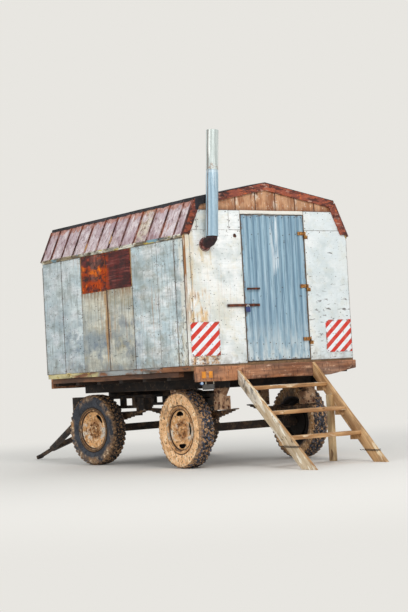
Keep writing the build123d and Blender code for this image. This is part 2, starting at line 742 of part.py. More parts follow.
def leaf_spring(x, y):
    """A pack of leaves, each shorter than the one above, on one gentle curve."""
    centre_z = SPRING_TOP + SPRING_CAMBER_RADIUS
    step = (LEAF_HALF_LONGEST - LEAF_HALF_SHORTEST) / (LEAF_COUNT - 1)
    pack = None
    for number in range(LEAF_COUNT):
        top = SPRING_CAMBER_RADIUS + number * LEAF_THICK
        low = top + LEAF_THICK
        half = LEAF_HALF_LONGEST - number * step
        angle = half / SPRING_CAMBER_RADIUS
        ends = [(math.sin(a) * r, centre_z - math.cos(a) * r) for r in (top, low)
                for a in (-angle, 0, angle)]
        x0 = x - SPRING_WIDTH / 2
        points = [Vector(x0, y + v, z) for v, z in ends]
        edges = [ThreePointArc(*points[0:3]), Line(points[2], points[5]),
                 ThreePointArc(*points[3:6]), Line(points[3], points[0])]
        leaf = extrude(make_face(edges), amount=SPRING_WIDTH, dir=(1, 0, 0))
        pack = leaf if pack is None else pack + leaf
    return pack


def springs(y):
    """The pair of springs over one axle."""
    return both_sides(leaf_spring(-SPRING_X, y))


def axle(y):
    """A square axle with round ends, spring seats, clamp plates and U-bolts."""
    beam_end = TRACK / 2 - DRUM_WIDTH
    beam = block(-beam_end, beam_end, y - AXLE_SQUARE / 2, y + AXLE_SQUARE / 2,
                 HUB_Z - AXLE_SQUARE / 2, AXLE_TOP)
    stub = TRACK / 2 + DRUM_WIDTH / 2
    whole = beam + rod_x(-stub, stub, y, HUB_Z, AXLE_STUB_RADIUS)
    half = SPRING_WIDTH / 2
    clamp = CLAMP_LENGTH / 2
    for side in (-1, 1):
        x = side * SPRING_X
        whole += block(x - half, x + half, y - clamp, y + clamp, AXLE_TOP, SPRING_BOTTOM - SEAT_GAP)
        under = HUB_Z - AXLE_SQUARE / 2
        bolt_x = half + U_BOLT_RADIUS + SEAT_GAP
        reach = bolt_x + 2 * U_BOLT_RADIUS
        whole += block(x - reach, x + reach, y - clamp, y + clamp, under - CLAMP_PLATE, under)
        top = leaf_top(clamp) + SEAT_GAP
        bridge = block(x - reach, x + reach, y - clamp, y + clamp, top, top + CLAMP_PLATE)
        for dx in (-bolt_x, bolt_x):
            for dy in (-clamp + 2 * U_BOLT_RADIUS, clamp - 2 * U_BOLT_RADIUS):
                bridge += rod_z(x + dx, y + dy, under - CLAMP_PLATE, top, U_BOLT_RADIUS)
        whole += bridge
    return whole


def turntable_ring(top):
    """A flat ring of the turntable about the kingpin's line."""
    ring = Cylinder(RING_RADIUS, RING_THICK) - Cylinder(RING_RADIUS - RING_BAND, 2 * RING_THICK)
    return Pos(0, 0, top - RING_THICK / 2) * ring


# The bogie is drawn straight at the kingpin and then turned to its parked angle
BOGIE_PLACE = Pos(0, FRONT_AXLE_Y, 0) * Rot(0, 0, STEER_REST)


def bogie_side_frames():
    """The bogie's two long rails, each with an open lower bar, spring hangers and a cheek."""
    half = BOGIE_RAIL_WIDTH / 2
    foot = leaf_top(FRONT_HANGER_REACH + HANGER_LENGTH / 2) + SEAT_GAP
    nose_top = DRAWBAR_HINGE_Z + DRAWBAR_TUBE / 2
    frames = []
    for x in (-BOGIE_X, BOGIE_X):
        rail = block(x - half, x + half, -BOGIE_HALF_LENGTH, BOGIE_HALF_LENGTH,
                     BOGIE_BOTTOM, BOGIE_TOP)
        rail += block(x - half, x + half, -LOWER_BAR_HALF, LOWER_BAR_HALF,
                      LOWER_BAR_TOP - LOWER_BAR_HEIGHT, LOWER_BAR_TOP)
        for y in POST_YS:
            rail += block(x - half, x + half, y - POST_LENGTH / 2, y + POST_LENGTH / 2,
                          LOWER_BAR_TOP, BOGIE_BOTTOM)
        for y in (-FRONT_HANGER_REACH, FRONT_HANGER_REACH):
            rail += hanger(x, y, BOGIE_BOTTOM, foot)
        rail += block(x - half, x + half, BOGIE_HALF_LENGTH - CHEEK_LENGTH, BOGIE_HALF_LENGTH,
                      nose_top, BOGIE_BOTTOM)
        frames.append(BOGIE_PLACE * rail)
    return frames


def bogie_cross_members():
    """Three flat cross beams and the low nose beam that holds the drawbar's lugs."""
    half = BOGIE_RAIL_WIDTH / 2
    inner = BOGIE_X - half
    cross = BOGIE_CROSS_WIDTH / 2
    low = DRAWBAR_HINGE_Z - DRAWBAR_TUBE / 2
    beams = [block(-inner, inner, y - cross, y + cross, BOGIE_BOTTOM, BOGIE_TOP)
             for y in (-BOGIE_CROSS_Y, BOGIE_CROSS_Y)]
    middle = block(-inner, inner, -cross, cross, BOGIE_BOTTOM, BOGIE_TOP)
    beams.append(middle - rod_z(0, 0, 0, RAIL_TOP, KINGPIN_RADIUS + PIN_CLEARANCE))
    nose = block(-BOGIE_X - half, BOGIE_X + half, BOGIE_HALF_LENGTH - DRAWBAR_TUBE,
                 BOGIE_HALF_LENGTH, low, low + DRAWBAR_TUBE)
    for side in (-1, 1):
        for edge in (-1, 1):
            reach = DRAWBAR_TUBE / 2 + LUG_GAP + LUG_THICK / 2
            nose += drawbar_lug(side * DRAWBAR_LUG_X + edge * reach)
    return [BOGIE_PLACE * shape for shape in beams + [nose]]


def drawbar_lug(x):
    """A lug on the bogie's nose, with a hole for the drawbar's pin."""
    reach = DRAWBAR_HINGE_Y - BOGIE_HALF_LENGTH
    lug = Pos(x, DRAWBAR_HINGE_Y, DRAWBAR_HINGE_Z) * round_end(LUG_THICK, reach, -1)
    return lug - rod_x(x - LUG_THICK, x + LUG_THICK, DRAWBAR_HINGE_Y, DRAWBAR_HINGE_Z,
                       DRAWBAR_PIN_RADIUS + PIN_CLEARANCE)


def round_end(thick, reach, way):
    """A bar along Y, as deep as the drawbar's tube, with a round end about the X axis.

    The bar reaches to y = way * reach, and its round end faces the other way.
    """
    half = DRAWBAR_TUBE / 2
    x0 = -thick / 2
    edges = [
        ThreePointArc((x0, 0, half), (x0, -way * half, 0), (x0, 0, -half)),
        Line((x0, 0, -half), (x0, way * reach, -half)),
        Line((x0, way * reach, -half), (x0, way * reach, half)),
        Line((x0, way * reach, half), (x0, 0, half)),
    ]
    return extrude(make_face(edges), amount=thick, dir=(1, 0, 0))


def drawbar_drop():
    """The drawbar's angle below level when the tip of its eye touches the ground."""
    ahead = DRAWBAR_LENGTH + EYE_RADIUS
    below = EYE_THICK / 2
    return math.asin(DRAWBAR_HINGE_Z / math.hypot(ahead, below)) - math.atan2(below, ahead)


DRAWBAR_PLACE = BOGIE_PLACE * Pos(0, DRAWBAR_HINGE_Y, DRAWBAR_HINGE_Z) * Rot(
    -math.degrees(drawbar_drop()), 0, 0)


def drawbar():
    """An A-frame of two legs, a tie and a towing eye, drawn level and then let down."""
    half = DRAWBAR_TUBE / 2
    frame = None
    for side in (-1, 1):
        x = side * DRAWBAR_LUG_X
        pin = half + LUG_GAP + LUG_THICK
        leg = Pos(x, 0, 0) * round_end(DRAWBAR_TUBE, 2 * DRAWBAR_TUBE, 1)
        leg += rod_x(x - pin, x + pin, 0, 0, DRAWBAR_PIN_RADIUS)
        outline = [
            (x - half, 2 * DRAWBAR_TUBE),
            (x + half, 2 * DRAWBAR_TUBE),
            (half, DRAWBAR_LEG_MEET),
            (-half, DRAWBAR_LEG_MEET),
        ]
        leg += prism_z(outline, -half, half)
        frame = leg if frame is None else frame + leg
    share = (DRAWBAR_TIE - 2 * DRAWBAR_TUBE) / (DRAWBAR_LEG_MEET - 2 * DRAWBAR_TUBE)
    reach = DRAWBAR_LUG_X * (1 - share)
    frame += block(-reach, reach, DRAWBAR_TIE - half, DRAWBAR_TIE + half, -half, half)
    frame += block(-half, half, DRAWBAR_LEG_MEET - DRAWBAR_TUBE, DRAWBAR_LENGTH - EYE_BORE_RADIUS,
                   -EYE_THICK / 2, EYE_THICK / 2)
    frame += Pos(0, DRAWBAR_LENGTH, 0) * Cylinder(EYE_RADIUS, EYE_THICK)
    return DRAWBAR_PLACE * (
        frame - Pos(0, DRAWBAR_LENGTH, 0) * Cylinder(EYE_BORE_RADIUS, 2 * EYE_THICK))


def step_stringers():
    """Two sloping planks that lean on the end beam, with the cleats under the treads."""
    planks = []
    for x, top, low, foot_front, foot_back in STRINGERS:
        outline = [
            (-END_BEAM_THICK - SEAT_GAP, top),
            (foot_front, 0),
            (foot_back, 0),
            (-END_BEAM_THICK - SEAT_GAP, low),
        ]
        plank = prism_x(outline, x - STRINGER_THICK / 2, x + STRINGER_THICK / 2)
        side = -1 if x > 0 else 1
        for tread_top, front in TREADS:
            inner = x + side * STRINGER_THICK / 2
            z1 = tread_top - TREAD_THICK
            middle = front + TREAD_DEPTH / 2
            plank += block(inner, inner + side * CLEAT_THICK, middle - CLEAT_DEPTH / 2,
                           middle + CLEAT_DEPTH / 2, z1 - CLEAT_HEIGHT, z1)
        planks.append(plank)
    return planks


def step_treads():
    """Three treads on their cleats between the planks."""
    left = STRINGERS[0][0] + STRINGER_THICK / 2
    right = STRINGERS[1][0] - STRINGER_THICK / 2
    return [block(left, right, front, front + TREAD_DEPTH, top - TREAD_THICK, top)
            for top, front in TREADS]


def step_post():
    """The upright prop inside the right plank."""
    x1 = STRINGERS[1][0] - STRINGER_THICK / 2
    return block(x1 - POST_WIDTH, x1, POST_BACK_Y - POST_DEPTH, POST_BACK_Y, 0, POST_TOP)


def many_sided_ring(line):
    """A ring about the X axis with flat faces, from its section: places along the axle and its flats' radii."""
    corner_angles = [2 * math.pi * (number + 0.5) / TYRE_SIDES for number in range(TYRE_SIDES + 1)]
    stretch = 1 / math.cos(math.pi / TYRE_SIDES)
    faces = []
    for (x0, r0), (x1, r1) in zip(line, line[1:] + line[:1]):
        for angle0, angle1 in zip(corner_angles, corner_angles[1:]):
            places = [(x0, r0, angle0), (x1, r1, angle0), (x1, r1, angle1), (x0, r0, angle1)]
            corners = [(x, r * stretch * math.sin(a), -r * stretch * math.cos(a)) for x, r, a in places]
            faces.append(make_face(Polyline(*corners, close=True)).face())
    ring = Solid(Shell(faces))
    return ring if ring.volume > 0 else Solid(ring.wrapped.Reversed())


def tyre():
    """A tyre about the X axis with notched shoulders, resting on one of its tread's flats.

    Its rings are many-sided and not round, to keep the mesh small.
    """
    half = RIM_WIDTH / 2
    wide = TYRE_WIDTH / 2
    right = [(wide - inset, TYRE_RADIUS - drop) for inset, drop in TYRE_LINE]
    right = [(half, BEAD_RADIUS), (half, FLANGE_RADIUS + TYRE_BEAD_GAP)] + right
    whole = many_sided_ring(right + [(-s, r) for s, r in reversed(right)])
    notch = [(wide - TYRE_NOTCH_DEEP, TYRE_RADIUS + 1), (wide + 1, TYRE_RADIUS + 1),
             (wide + 1, TYRE_RADIUS - TYRE_NOTCH_DEEP)]
    for side in (-1, 1):
        outline = Polyline(*[(side * s, -TYRE_NOTCH / 2, r) for s, r in notch], close=True)
        wedge = extrude(make_face(outline), amount=TYRE_NOTCH, dir=(0, 1, 0))
        shift = 0 if side < 0 else 0.5
        for number in range(TYRE_SIDES):
            whole -= Rot((number + shift) * 360 / TYRE_SIDES, 0, 0) * wedge
    return whole


def wheel():
    """A disc wheel about the X axis with its hub and drum, its outer side towards -X."""
    half = RIM_WIDTH / 2
    seat = BEAD_RADIUS - SEAT_GAP
    lip = half + SEAT_GAP
    edge = lip + RIM_STEEL
    barrel = seat - RIM_STEEL
    rim_line = [(-edge, FLANGE_RADIUS), (-lip, FLANGE_RADIUS), (-lip, seat), (lip, seat),
                (lip, FLANGE_RADIUS), (edge, FLANGE_RADIUS), (edge, barrel), (-edge, barrel)]
    rim = revolve(make_face(Polyline(*[(s, 0, r) for s, r in rim_line], close=True)), axis=Axis.X)
    face_x = -0.3 * RIM_WIDTH
    dish = [(face_x + 14, barrel + 1), (face_x - 8, 215), (face_x + 4, 150), (face_x + 6, 0)]
    back = [(s + RIM_STEEL, r) for s, r in reversed(dish)]
    disc = revolve(make_face(Polyline(*[(s, 0, r) for s, r in dish + back], close=True)), axis=Axis.X)
    for number in range(VENT_COUNT):
        slot = Rot(90, 0, 90) * extrude(SlotOverall(VENT_LONG, VENT_WIDE), amount=RIM_WIDTH, both=True)
        disc -= Rot(number * 360 / VENT_COUNT, 0, 0) * Pos(0, 0, VENT_CIRCLE) * slot
    whole = rim + disc
    hub_in = DRUM_WIDTH - AXLE_SQUARE / 2 + 8
    whole += rod_x(face_x - 45, hub_in, 0, 0, HUB_RADIUS)
    whole += rod_x(face_x + RIM_STEEL, face_x + 30, 0, 0, HUB_FLANGE_RADIUS)
    whole += rod_x(face_x + 30, hub_in, 0, 0, DRUM_RADIUS)
    for number in range(STUD_COUNT):
        nut = rod_x(face_x - 16, face_x + RIM_STEEL, 0, STUD_CIRCLE, STUD_RADIUS)
        whole += Rot(number * 360 / STUD_COUNT, 0, 0) * nut
    bore_end = -DRUM_WIDTH / 2 - PIN_CLEARANCE
    return whole - rod_x(bore_end, RIM_WIDTH, 0, 0, AXLE_STUB_RADIUS + PIN_CLEARANCE)


# Each wheel's name, its side of the wagon and whether the bogie carries it
WHEELS = (
    ("rear_left", -1, False),
    ("rear_right", 1, False),
    ("front_left", -1, True),
    ("front_right", 1, True),
)


def wheel_place(side, on_bogie):
    """Where a wheel drawn about the X axis goes."""
    turn = Rot(0, 0, 0 if side < 0 else 180)
    if on_bogie:
        return BOGIE_PLACE * Pos(side * TRACK / 2, 0, HUB_Z) * turn
    return Pos(side * TRACK / 2, REAR_AXLE_Y, HUB_Z) * turn


def all_nodes():
    """Every sub-part by name, each a solid or a list of solids that don't touch."""
    nodes = {
        "floor": floor(),
        "side_boards": side_boards(),
        "side_wall_left": side_wall(-1),
        "side_wall_right": side_wall(1),
        "window_patches": window_patches(),
        "end_wall_far": end_wall_far(),
        "end_wall_left": end_wall_beside_door(-1),
        "end_wall_right": end_wall_beside_door(1),
        "door_header": door_header(),
        "gable_boards": gable_boards(),
        "roof_slope_left": steep_roof(-1),
        "roof_top_left": roof_panel(1),
        "roof_top_right": roof_panel(2),
        "roof_slope_right": steep_roof(1),
        "eave_strips": eave_strips(),
        "bargeboards": bargeboards(),
        "warning_boards": warning_boards(),
        "door_panel": door_panel(),
        "hinge_straps": hinge_straps(),
        "hinge_plates": hinge_plates(),
        "door_handle": door_handle(),
        "hasp_bar": hasp_bar(),
        "padlock": padlock(),
        "reflectors": reflectors(),
        "stove_elbow": stove_elbow(),
        "stovepipe_lower": stovepipe_lower(),
        "stovepipe_upper": stovepipe_upper(),
        "side_rails": side_rails(),
        "bearers": bearers(),
        "end_beam_door": end_beam_door(),
        "end_beam_far": end_beam_far(),
        "lamp_bracket": lamp_bracket(),
        "side_lamp": side_lamp(),
        "chassis_rails": chassis_rails(),
        "cross_members": cross_members(),
        "springs_rear": springs(REAR_AXLE_Y),
        "axle_rear": axle(REAR_AXLE_Y),
        "turntable_upper": Pos(0, FRONT_AXLE_Y, 0) * turntable_ring(RING_TOP),
        "turntable_lower": BOGIE_PLACE * turntable_ring(LOWER_RING_TOP),
        "bogie_side_frames": bogie_side_frames(),
        "bogie_cross_members": bogie_cross_members(),
        "springs_front": [BOGIE_PLACE * shape for shape in springs(0)],
        "axle_front": BOGIE_PLACE * axle(0),
        "drawbar": drawbar(),
        "step_stringers": step_stringers(),
        "step_treads": step_treads(),
        "step_post": step_post(),
    }
    a_tyre, a_wheel = tyre(), wheel()
    for name, side, on_bogie in WHEELS:
        place = wheel_place(side, on_bogie)
        nodes["tyre_" + name] = place * a_tyre
        nodes["wheel_" + name] = place * a_wheel
    return nodes


def solids_of(shapes):
    """A node's solids as one compound."""
    shapes = shapes if isinstance(shapes, list) else [shapes]
    return Compound(children=[solid for shape in shapes for solid in shape.solids()])


def main():
    """Builds every node, moves the wagon over its origin and writes the files."""
    nodes = {name: solids_of(shapes) for name, shapes in all_nodes().items()}
    box = Compound(children=[shape.moved(Location((0, 0, 0))) for shape in nodes.values()]).bounding_box()
    shift = Vector(-(box.min.X + box.max.X) / 2, -(box.min.Y + box.max.Y) / 2, -box.min.Z)
    print("box", box.min, box.max)
    print("moved by", shift)
    place = Pos(shift.X, shift.Y, shift.Z)
    for name, shape in nodes.items():
        solids = [place * solid for solid in shape.solids()]
        whole = solids[0] if len(solids) == 1 else Compound(children=solids)
        export_step(whole, "parts/" + name + ".step")
    steer = Vector(0, FRONT_AXLE_Y, RAIL_BOTTOM) + shift
    hinge = Vector(*(BOGIE_PLACE * Pos(0, DRAWBAR_HINGE_Y, DRAWBAR_HINGE_Z)).position) + shift
    eye = Vector(*(DRAWBAR_PLACE * Pos(0, DRAWBAR_LENGTH, 0)).position) + shift
    print("steer", steer, "drawbar hinge", hinge, "eye", eye)
    print("drawbar drop", math.degrees(drawbar_drop()))
    print("door hinge", Vector(HINGE_X, HINGE_Y, 0) + shift)
    for name, side, on_bogie in WHEELS:
        print(name, Vector(*wheel_place(side, on_bogie).position) + shift)


main()
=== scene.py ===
"""A tin-clad living wagon on a farm trailer chassis, dressed over its solids."""
import math
import random

import bmesh
import bpy
from mathutils import Matrix, Vector, noise


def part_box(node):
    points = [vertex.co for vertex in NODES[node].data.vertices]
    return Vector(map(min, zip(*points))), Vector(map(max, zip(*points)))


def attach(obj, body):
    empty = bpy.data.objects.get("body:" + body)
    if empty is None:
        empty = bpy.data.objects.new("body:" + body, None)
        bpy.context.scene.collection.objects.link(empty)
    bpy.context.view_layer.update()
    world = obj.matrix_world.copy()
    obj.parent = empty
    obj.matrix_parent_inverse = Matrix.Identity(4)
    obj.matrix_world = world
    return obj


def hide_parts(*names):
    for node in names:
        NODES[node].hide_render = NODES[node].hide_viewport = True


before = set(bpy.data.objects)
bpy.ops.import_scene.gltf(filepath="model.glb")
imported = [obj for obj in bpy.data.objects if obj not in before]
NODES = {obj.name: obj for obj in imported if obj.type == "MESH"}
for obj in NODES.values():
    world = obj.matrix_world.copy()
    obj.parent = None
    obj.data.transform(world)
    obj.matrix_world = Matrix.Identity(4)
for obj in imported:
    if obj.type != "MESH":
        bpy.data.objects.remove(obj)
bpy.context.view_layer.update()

luck = random.Random(31)
# Unseeded, noise_vector takes its offsets from the clock
noise.seed_set(31)

# Metres. The door end faces -Y and the ground is Z = 0.
DOOR_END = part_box("end_wall_left")[0].y
FAR_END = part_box("end_wall_far")[1].y
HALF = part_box("side_wall_right")[1].x
FLOOR_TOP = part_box("end_wall_left")[0].z
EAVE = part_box("side_wall_left")[1].z
BREAK_X = -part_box("roof_top_left")[0].x
BREAK_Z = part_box("roof_slope_left")[1].z
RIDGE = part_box("roof_top_left")[1].z
JAMB_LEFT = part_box("end_wall_left")[1].x
JAMB_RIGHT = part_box("end_wall_right")[0].x
BOARDS_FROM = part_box("end_wall_left")[1].z
GABLE_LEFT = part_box("gable_boards")[0].x
GABLE_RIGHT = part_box("gable_boards")[1].x
DOOR_LOW, DOOR_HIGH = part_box("door_panel")
DOOR_WIDE, DOOR_TALL = DOOR_HIGH.x - DOOR_LOW.x, DOOR_HIGH.z - DOOR_LOW.z

# Where the tin sheets meet, as distances from the door end or heights
SIDE_SEAMS = (0.0, 0.20, 0.60, 1.21, 2.53, 3.07, 3.60)
BELOW_WINDOW_SEAMS = (1.21, 1.85, 2.53)
END_SEAM = 2.905
WINDOW_FOOT = 2.315
EAVE_STRIP = 0.045
LAP = 0.012

# Gauges of sheet, nails, and how far end sheets are cut back under the roof
SHEET = 0.0012
PIPE_GAUGE = 0.002
FELT_GAUGE = 0.004
NAIL = 0.007
NAIL_JITTER = 0.008
NAIL_INSET = 0.02
SIDE_NAILS_APART = 0.23
WINDOW_NAILS_APART = 0.16
END_NAILS_APART = 0.26
LEVEL_NAILS_APART = 0.17
TRIM_BACK = 0.03

# The roof, along the wagon from the door end
ROOF_RIBS = tuple(0.178 + 0.317 * number for number in range(11))
ROOF_ENDS = (-0.012, 3.612)
ROOF_OVERHANG = 0.028
FOLD_WIDE = 0.011
END_SEAM_WIDE = 0.020
FOLD_HIGH = 0.022
FELT_ENDS = (-0.020, 3.625)
FELT_ROLL = 0.92
FLAP_HANG = 0.036
FLAP_HIGH = 0.043
FLAP_TORN = 0.02

# The door and its end
CORRUGATIONS = 10
CORRUGATION_DEPTH = 0.012
DOOR_PLANKS = 7
DOOR_LEDGES = (1.50, 2.20, 2.90)
DOOR_NAIL_ROWS = (1.315, 1.50, 2.86, 3.075)
STRAY_NAILS = 8
GABLE_BOARDS = 7
STRIPE_PITCH = 0.104
HOLE = (-0.496, 2.844)
# Each warning plate: its left, right, foot and head
WARNING_PLATES = ((-1.220, -0.800, 1.378, 1.788), (0.845, 1.258, 1.355, 1.768))

# Stovepipe and wire ties
PIPE_LEAN = math.radians(4)
PIPE_LOW, PIPE_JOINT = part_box("stovepipe_lower")
PIPE_RADIUS = (PIPE_JOINT.y - PIPE_LOW.y) / 2
PIPE_SIDES = 40
ELBOW_BEND = 0.084
WIRE_RADIUS = 0.0035
WIRE_HALF = 0.024

# Wheels, about their own axle
TREAD_RADIUS = 0.481
CARCASS_RADIUS = 0.468
TYRE_HALF = 0.1175
LUGS = 42
LUG_MIDDLE = 0.472
# The shoulder lugs and the centre blocks: place and length across, share of the pitch, slant and start
BLOCKS = ((0.0865, 0.046, 0.56, 0.30, 0.0), (0.028, 0.040, 0.60, -0.35, 0.5))
BEAD = 0.256
VENT_CIRCLE = 0.203
VENT_HALF_LONG = 0.0825
VENT_HALF_WIDE = 0.031
VENTS = 4
STUDS = 8
STUD_CIRCLE = 0.095
STEER_REST = math.radians(10)
# How far a spring hanger is from its axle
HANGER_REACH = 0.497
# Each wheel: its place, its side, its steering, the turn of its vents and which are caked shut, how far its
# sidewall is caked, how much clay its tread keeps, the clay's colour and the clean blocks'
WHEELS = (
    ("rear_left", -1, 0.0, 3, (2,), 1.0, 0.8, "f4c28e", "555d70"),
    ("rear_right", 1, 0.0, 30, (2,), 0.7, 0.5, "c39a70", "5d5f6a"),
    ("front_left", -1, STEER_REST, -41, (0, 2, 3), 0.45, 0.5, "937558", "705c4a"),
    ("front_right", 1, STEER_REST, 64, (2,), 0.5, 0.4, "a98a66", "665a50"),
)


def hue(code):
    """The linear colour of an sRGB hex value."""
    parts = [int(code[i:i + 2], 16) / 255 for i in (0, 2, 4)]
    return tuple(c / 12.92 if c <= 0.04045 else ((c + 0.055) / 1.055) ** 2.4 for c in parts) + (1.0,)


def add(tree, kind, sockets, out=0, **settings):
    """Adds a shader node with its settings, fills its sockets and gives back one of its outputs."""
    made = tree.nodes.new("ShaderNode" + kind)
    for name, value in settings.items():
        setattr(made, name, value)
    fill(tree, made, sockets)
    return made.outputs[out]


def fill(tree, made, sockets):
    """Links a node's sockets to other nodes or gives them their values."""
    for name, value in sockets.items():
        if isinstance(value, bpy.types.NodeSocket):
            tree.links.new(value, made.inputs[name])
        else:
            made.inputs[name].default_value = value


def patches(tree, size, low, high, shift=0.0, stretch=(1, 1, 1), turn=(0, 0, 0), detail=5.0):
    """Blotches about this many millimetres across, drawn out by stretch: 0 outside them, 1 inside."""
    place = add(tree, "TexCoord", {}, out="Object")
    place = add(tree, "Mapping", {"Vector": place, "Rotation": turn})
    scale = [1 / s for s in stretch]
    place = add(tree, "Mapping",
                {"Vector": place, "Scale": scale, "Location": (shift, 2 * shift, -shift)})
    cloud = add(tree, "TexNoise",
                {"Vector": place, "Scale": 500 / size, "Detail": detail, "Roughness": 0.6})
    return add(tree, "MapRange", {"Value": cloud, "From Min": low, "From Max": high})


def place_on(tree, axis):
    """The coordinate of a point on its piece along an axis."""
    return add(tree, "SeparateXYZ", {"Vector": add(tree, "TexCoord", {}, out="Object")}, out=axis)


def stretch_of(tree, axis, start, end):
    """How far a point has gone from one coordinate to another along an axis, 0 to 1."""
    return add(tree, "MapRange", {"Value": place_on(tree, axis), "From Min": start, "From Max": end})


def strip(tree, axis, low, high, soft):
    """1 between two coordinates along an axis, fading out over a soft width on both sides."""
    return mask(tree, stretch_of(tree, axis, low - soft, low), stretch_of(tree, axis, high + soft, high))


def kept(tree, name, low, high):
    """A value that the piece keeps at its points, 0 at one end of a range and 1 at the other."""
    value = add(tree, "Attribute", {}, out="Fac", attribute_name=name)
    return add(tree, "MapRange", {"Value": value, "From Min": low, "From Max": high})


def read(tree, part):
    """A part of a mask from its row of values.

    With a number first they are a patch's size, limits, shift and stretch; with an axis first, the
    ends of a stretch or a strip along it; with another name first, the range of a kept value.
    """
    if not isinstance(part, tuple):
        return part
    if not isinstance(part[0], str):
        return patches(tree, *part)
    if part[0] not in "XYZ":
        return kept(tree, *part)
    return stretch_of(tree, *part) if len(part) == 3 else strip(tree, *part)


def mask(tree, *parts, operation="MULTIPLY"):
    """One mask from its parts."""
    whole = None
    for part in parts:
        part = read(tree, part)
        if whole is None:
            whole = part
        else:
            whole = add(tree, "Math", {0: whole, 1: part}, operation=operation, use_clamp=True)
    return whole


def coats(tree, ground, *layers):
    """Colours laid over a ground one after another, each given with the parts of its mask."""
    ground = hue(ground)
    for tint, *parts in layers:
        ground = add(tree, "Mix", {0: mask(tree, *parts), 6: ground, 7: hue(tint)}, out=2,
                     data_type="RGBA")
    return ground


def finish(name, colour, roughness, relief, depth, metal=0.0, **sockets):
    """Ties a colour, a roughness and a relief of this many millimetres to the material's shader."""
    tree = relief.id_data
    shader = tree.nodes["Principled BSDF"]
    fill(tree, shader, {"Base Color": colour, "Roughness": roughness, "Metallic": metal, **sockets})
    bump = add(tree, "Bump", {"Height": relief, "Distance": depth / 1000, "Strength": 1.0})
    tree.links.new(bump, shader.inputs["Normal"])
    return bpy.data.materials[name]


def open_tin(name):
    """A new material of this name and its node tree."""
    made = bpy.data.materials.new(name)
    made.use_nodes = True
    return made.node_tree


def brushed_tin(name, paint, light, cool, deep, grime, own=None, marks=0.35, runny=0.8, stained=0.5,
                edged=0.5, smudged=0.5, dent_light_and_shade=0.9):
    """Roofing tin, galvanised and brushed with thin house paint.

    The eye gets a chalky skin that turns between warm and cool, level brush marks, pinholes and a
    dark dirty line along each lapped edge. Broad dark and pale blotches are painted shade and
    painted highlights for the light on the sheet's dents. The wall's own stains come last.
    """
    tree = open_tin(name)
    wide = (1.2, 2.4, 1)
    runs = mask(tree, (14, 0.54, 0.68, 5, (1, 1, 34)), (500, 0.46, 0.6, 8))
    # Pinholes and knocks 5 to 15 mm across are drawn at 15 mm so that they show
    pins = patches(tree, 15, 0.645, 0.67, 2, (1, 1.6, 1))
    colour = coats(
        tree, paint,
        (cool, (330, 0.36, 0.64, 0, wide)),
        # Painted shade and painted highlights: broad blotches for the light on the sheet's dents
        (deep, (150, 0.44, 0.66, 3, wide), dent_light_and_shade),
        (light, (90, 0.46, 0.64, 23, wide), dent_light_and_shade),
        (grime, (50, 0.52, 0.68, 43, wide), smudged),
        (deep, (20, 0.42, 0.72, 33, (1.6, 2.6, 1)), 0.32),
        (deep, (9, 0.48, 0.74, 31, (14, 18, 1)), marks),
        (grime, (130, 0.52, 0.74, 11, (1, 2, 2)), stained),
        ("a8743a", runs, runny),
        *(own(tree) if own else ()),
        ("857c68", ("Z", 1.5, 1.28), (60, 0.42, 0.6, 9), 0.5),
        ("3f3a36", (24, 0.665, 0.69, 14, (2.4, 3.2, 0.7)), 0.85),
        ("2e211b", pins, 0.95),
        ("7d5c3c", ("rim", 0.45, 0.95), (34, 0.44, 0.6, 1), edged),
        ("3a2c25", ("rim", 0.84, 0.92), (40, 0.24, 0.42, 35, (1, 1, 3))),
    )
    relief = coats(tree, "bcbcbc", ("e7e7e7", (12, 0.3, 0.8, 0, (1, 1, 2))), ("000000", pins))
    rough = add(tree, "MapRange", {"Value": runs, "To Min": 0.48, "To Max": 0.85})
    return finish(name, colour, rough, relief, 0.8, 0.1)


def door_end_stains(tree):
    """Rust beside the corner, ragged ochre stains round the left warning plate and under the elbow."""
    near_plate = mask(tree, ("X", -1.17, -0.98, 0.08), ("Z", 1.78, 2.1, 0.12))
    below_plate = mask(tree, ("X", -1.2, -0.84, 0.05), ("Z", 1.28, 1.375, 0.015))
    return (
        ("d5e1e5", ("X", 0.55, 0.75), 0.45),
        ("dcc69c", ("X", -0.8, -1.2), (80, 0.46, 0.62, 41, (1, 1, 3)), 0.4),
        ("d8b878", ("X", -1.24, -1.15, 0.05), ("Z", 1.9, 2.7), (60, 0.38, 0.56, 18, (1, 1, 5)), 0.55),
        ("cdae6c", ("X", -1.05, -0.86, 0.05), ("Z", 2.55, 2.66, 0.08), (30, 0.46, 0.6, 37, (1, 1, 4)),
         0.6),
        ("dcae62", near_plate, (36, 0.48, 0.6, 19, (1, 1, 3)), 0.75),
        ("8f5f28", near_plate, (24, 0.54, 0.62, 20, (1, 1, 4)), 0.8),
        ("c08a3e", below_plate, (30, 0.42, 0.56, 29), 0.85),
        ("5b3316", below_plate, (26, 0.52, 0.6, 30, (1.6, 1, 1)), 0.9),
        ("b78a42", ("X", -1.176, -1.156, 0.01), ("Z", 1.6, 2.42, 0.2), (30, 0.44, 0.56, 27, (1, 1, 7)),
         0.75),
        ("8f5710", ("X", -1.262, -1.234, 0.006), ("Z", 1.6, 2.2), (45, 0.34, 0.46, 17, (1, 1, 6)), 0.95),
        ("4b3f38", ("X", 0.45, 0.65), ("Z", 2.35, 1.95), (20, 0.59, 0.65, 43, (3.4, 1, 1)), 0.85),
    )


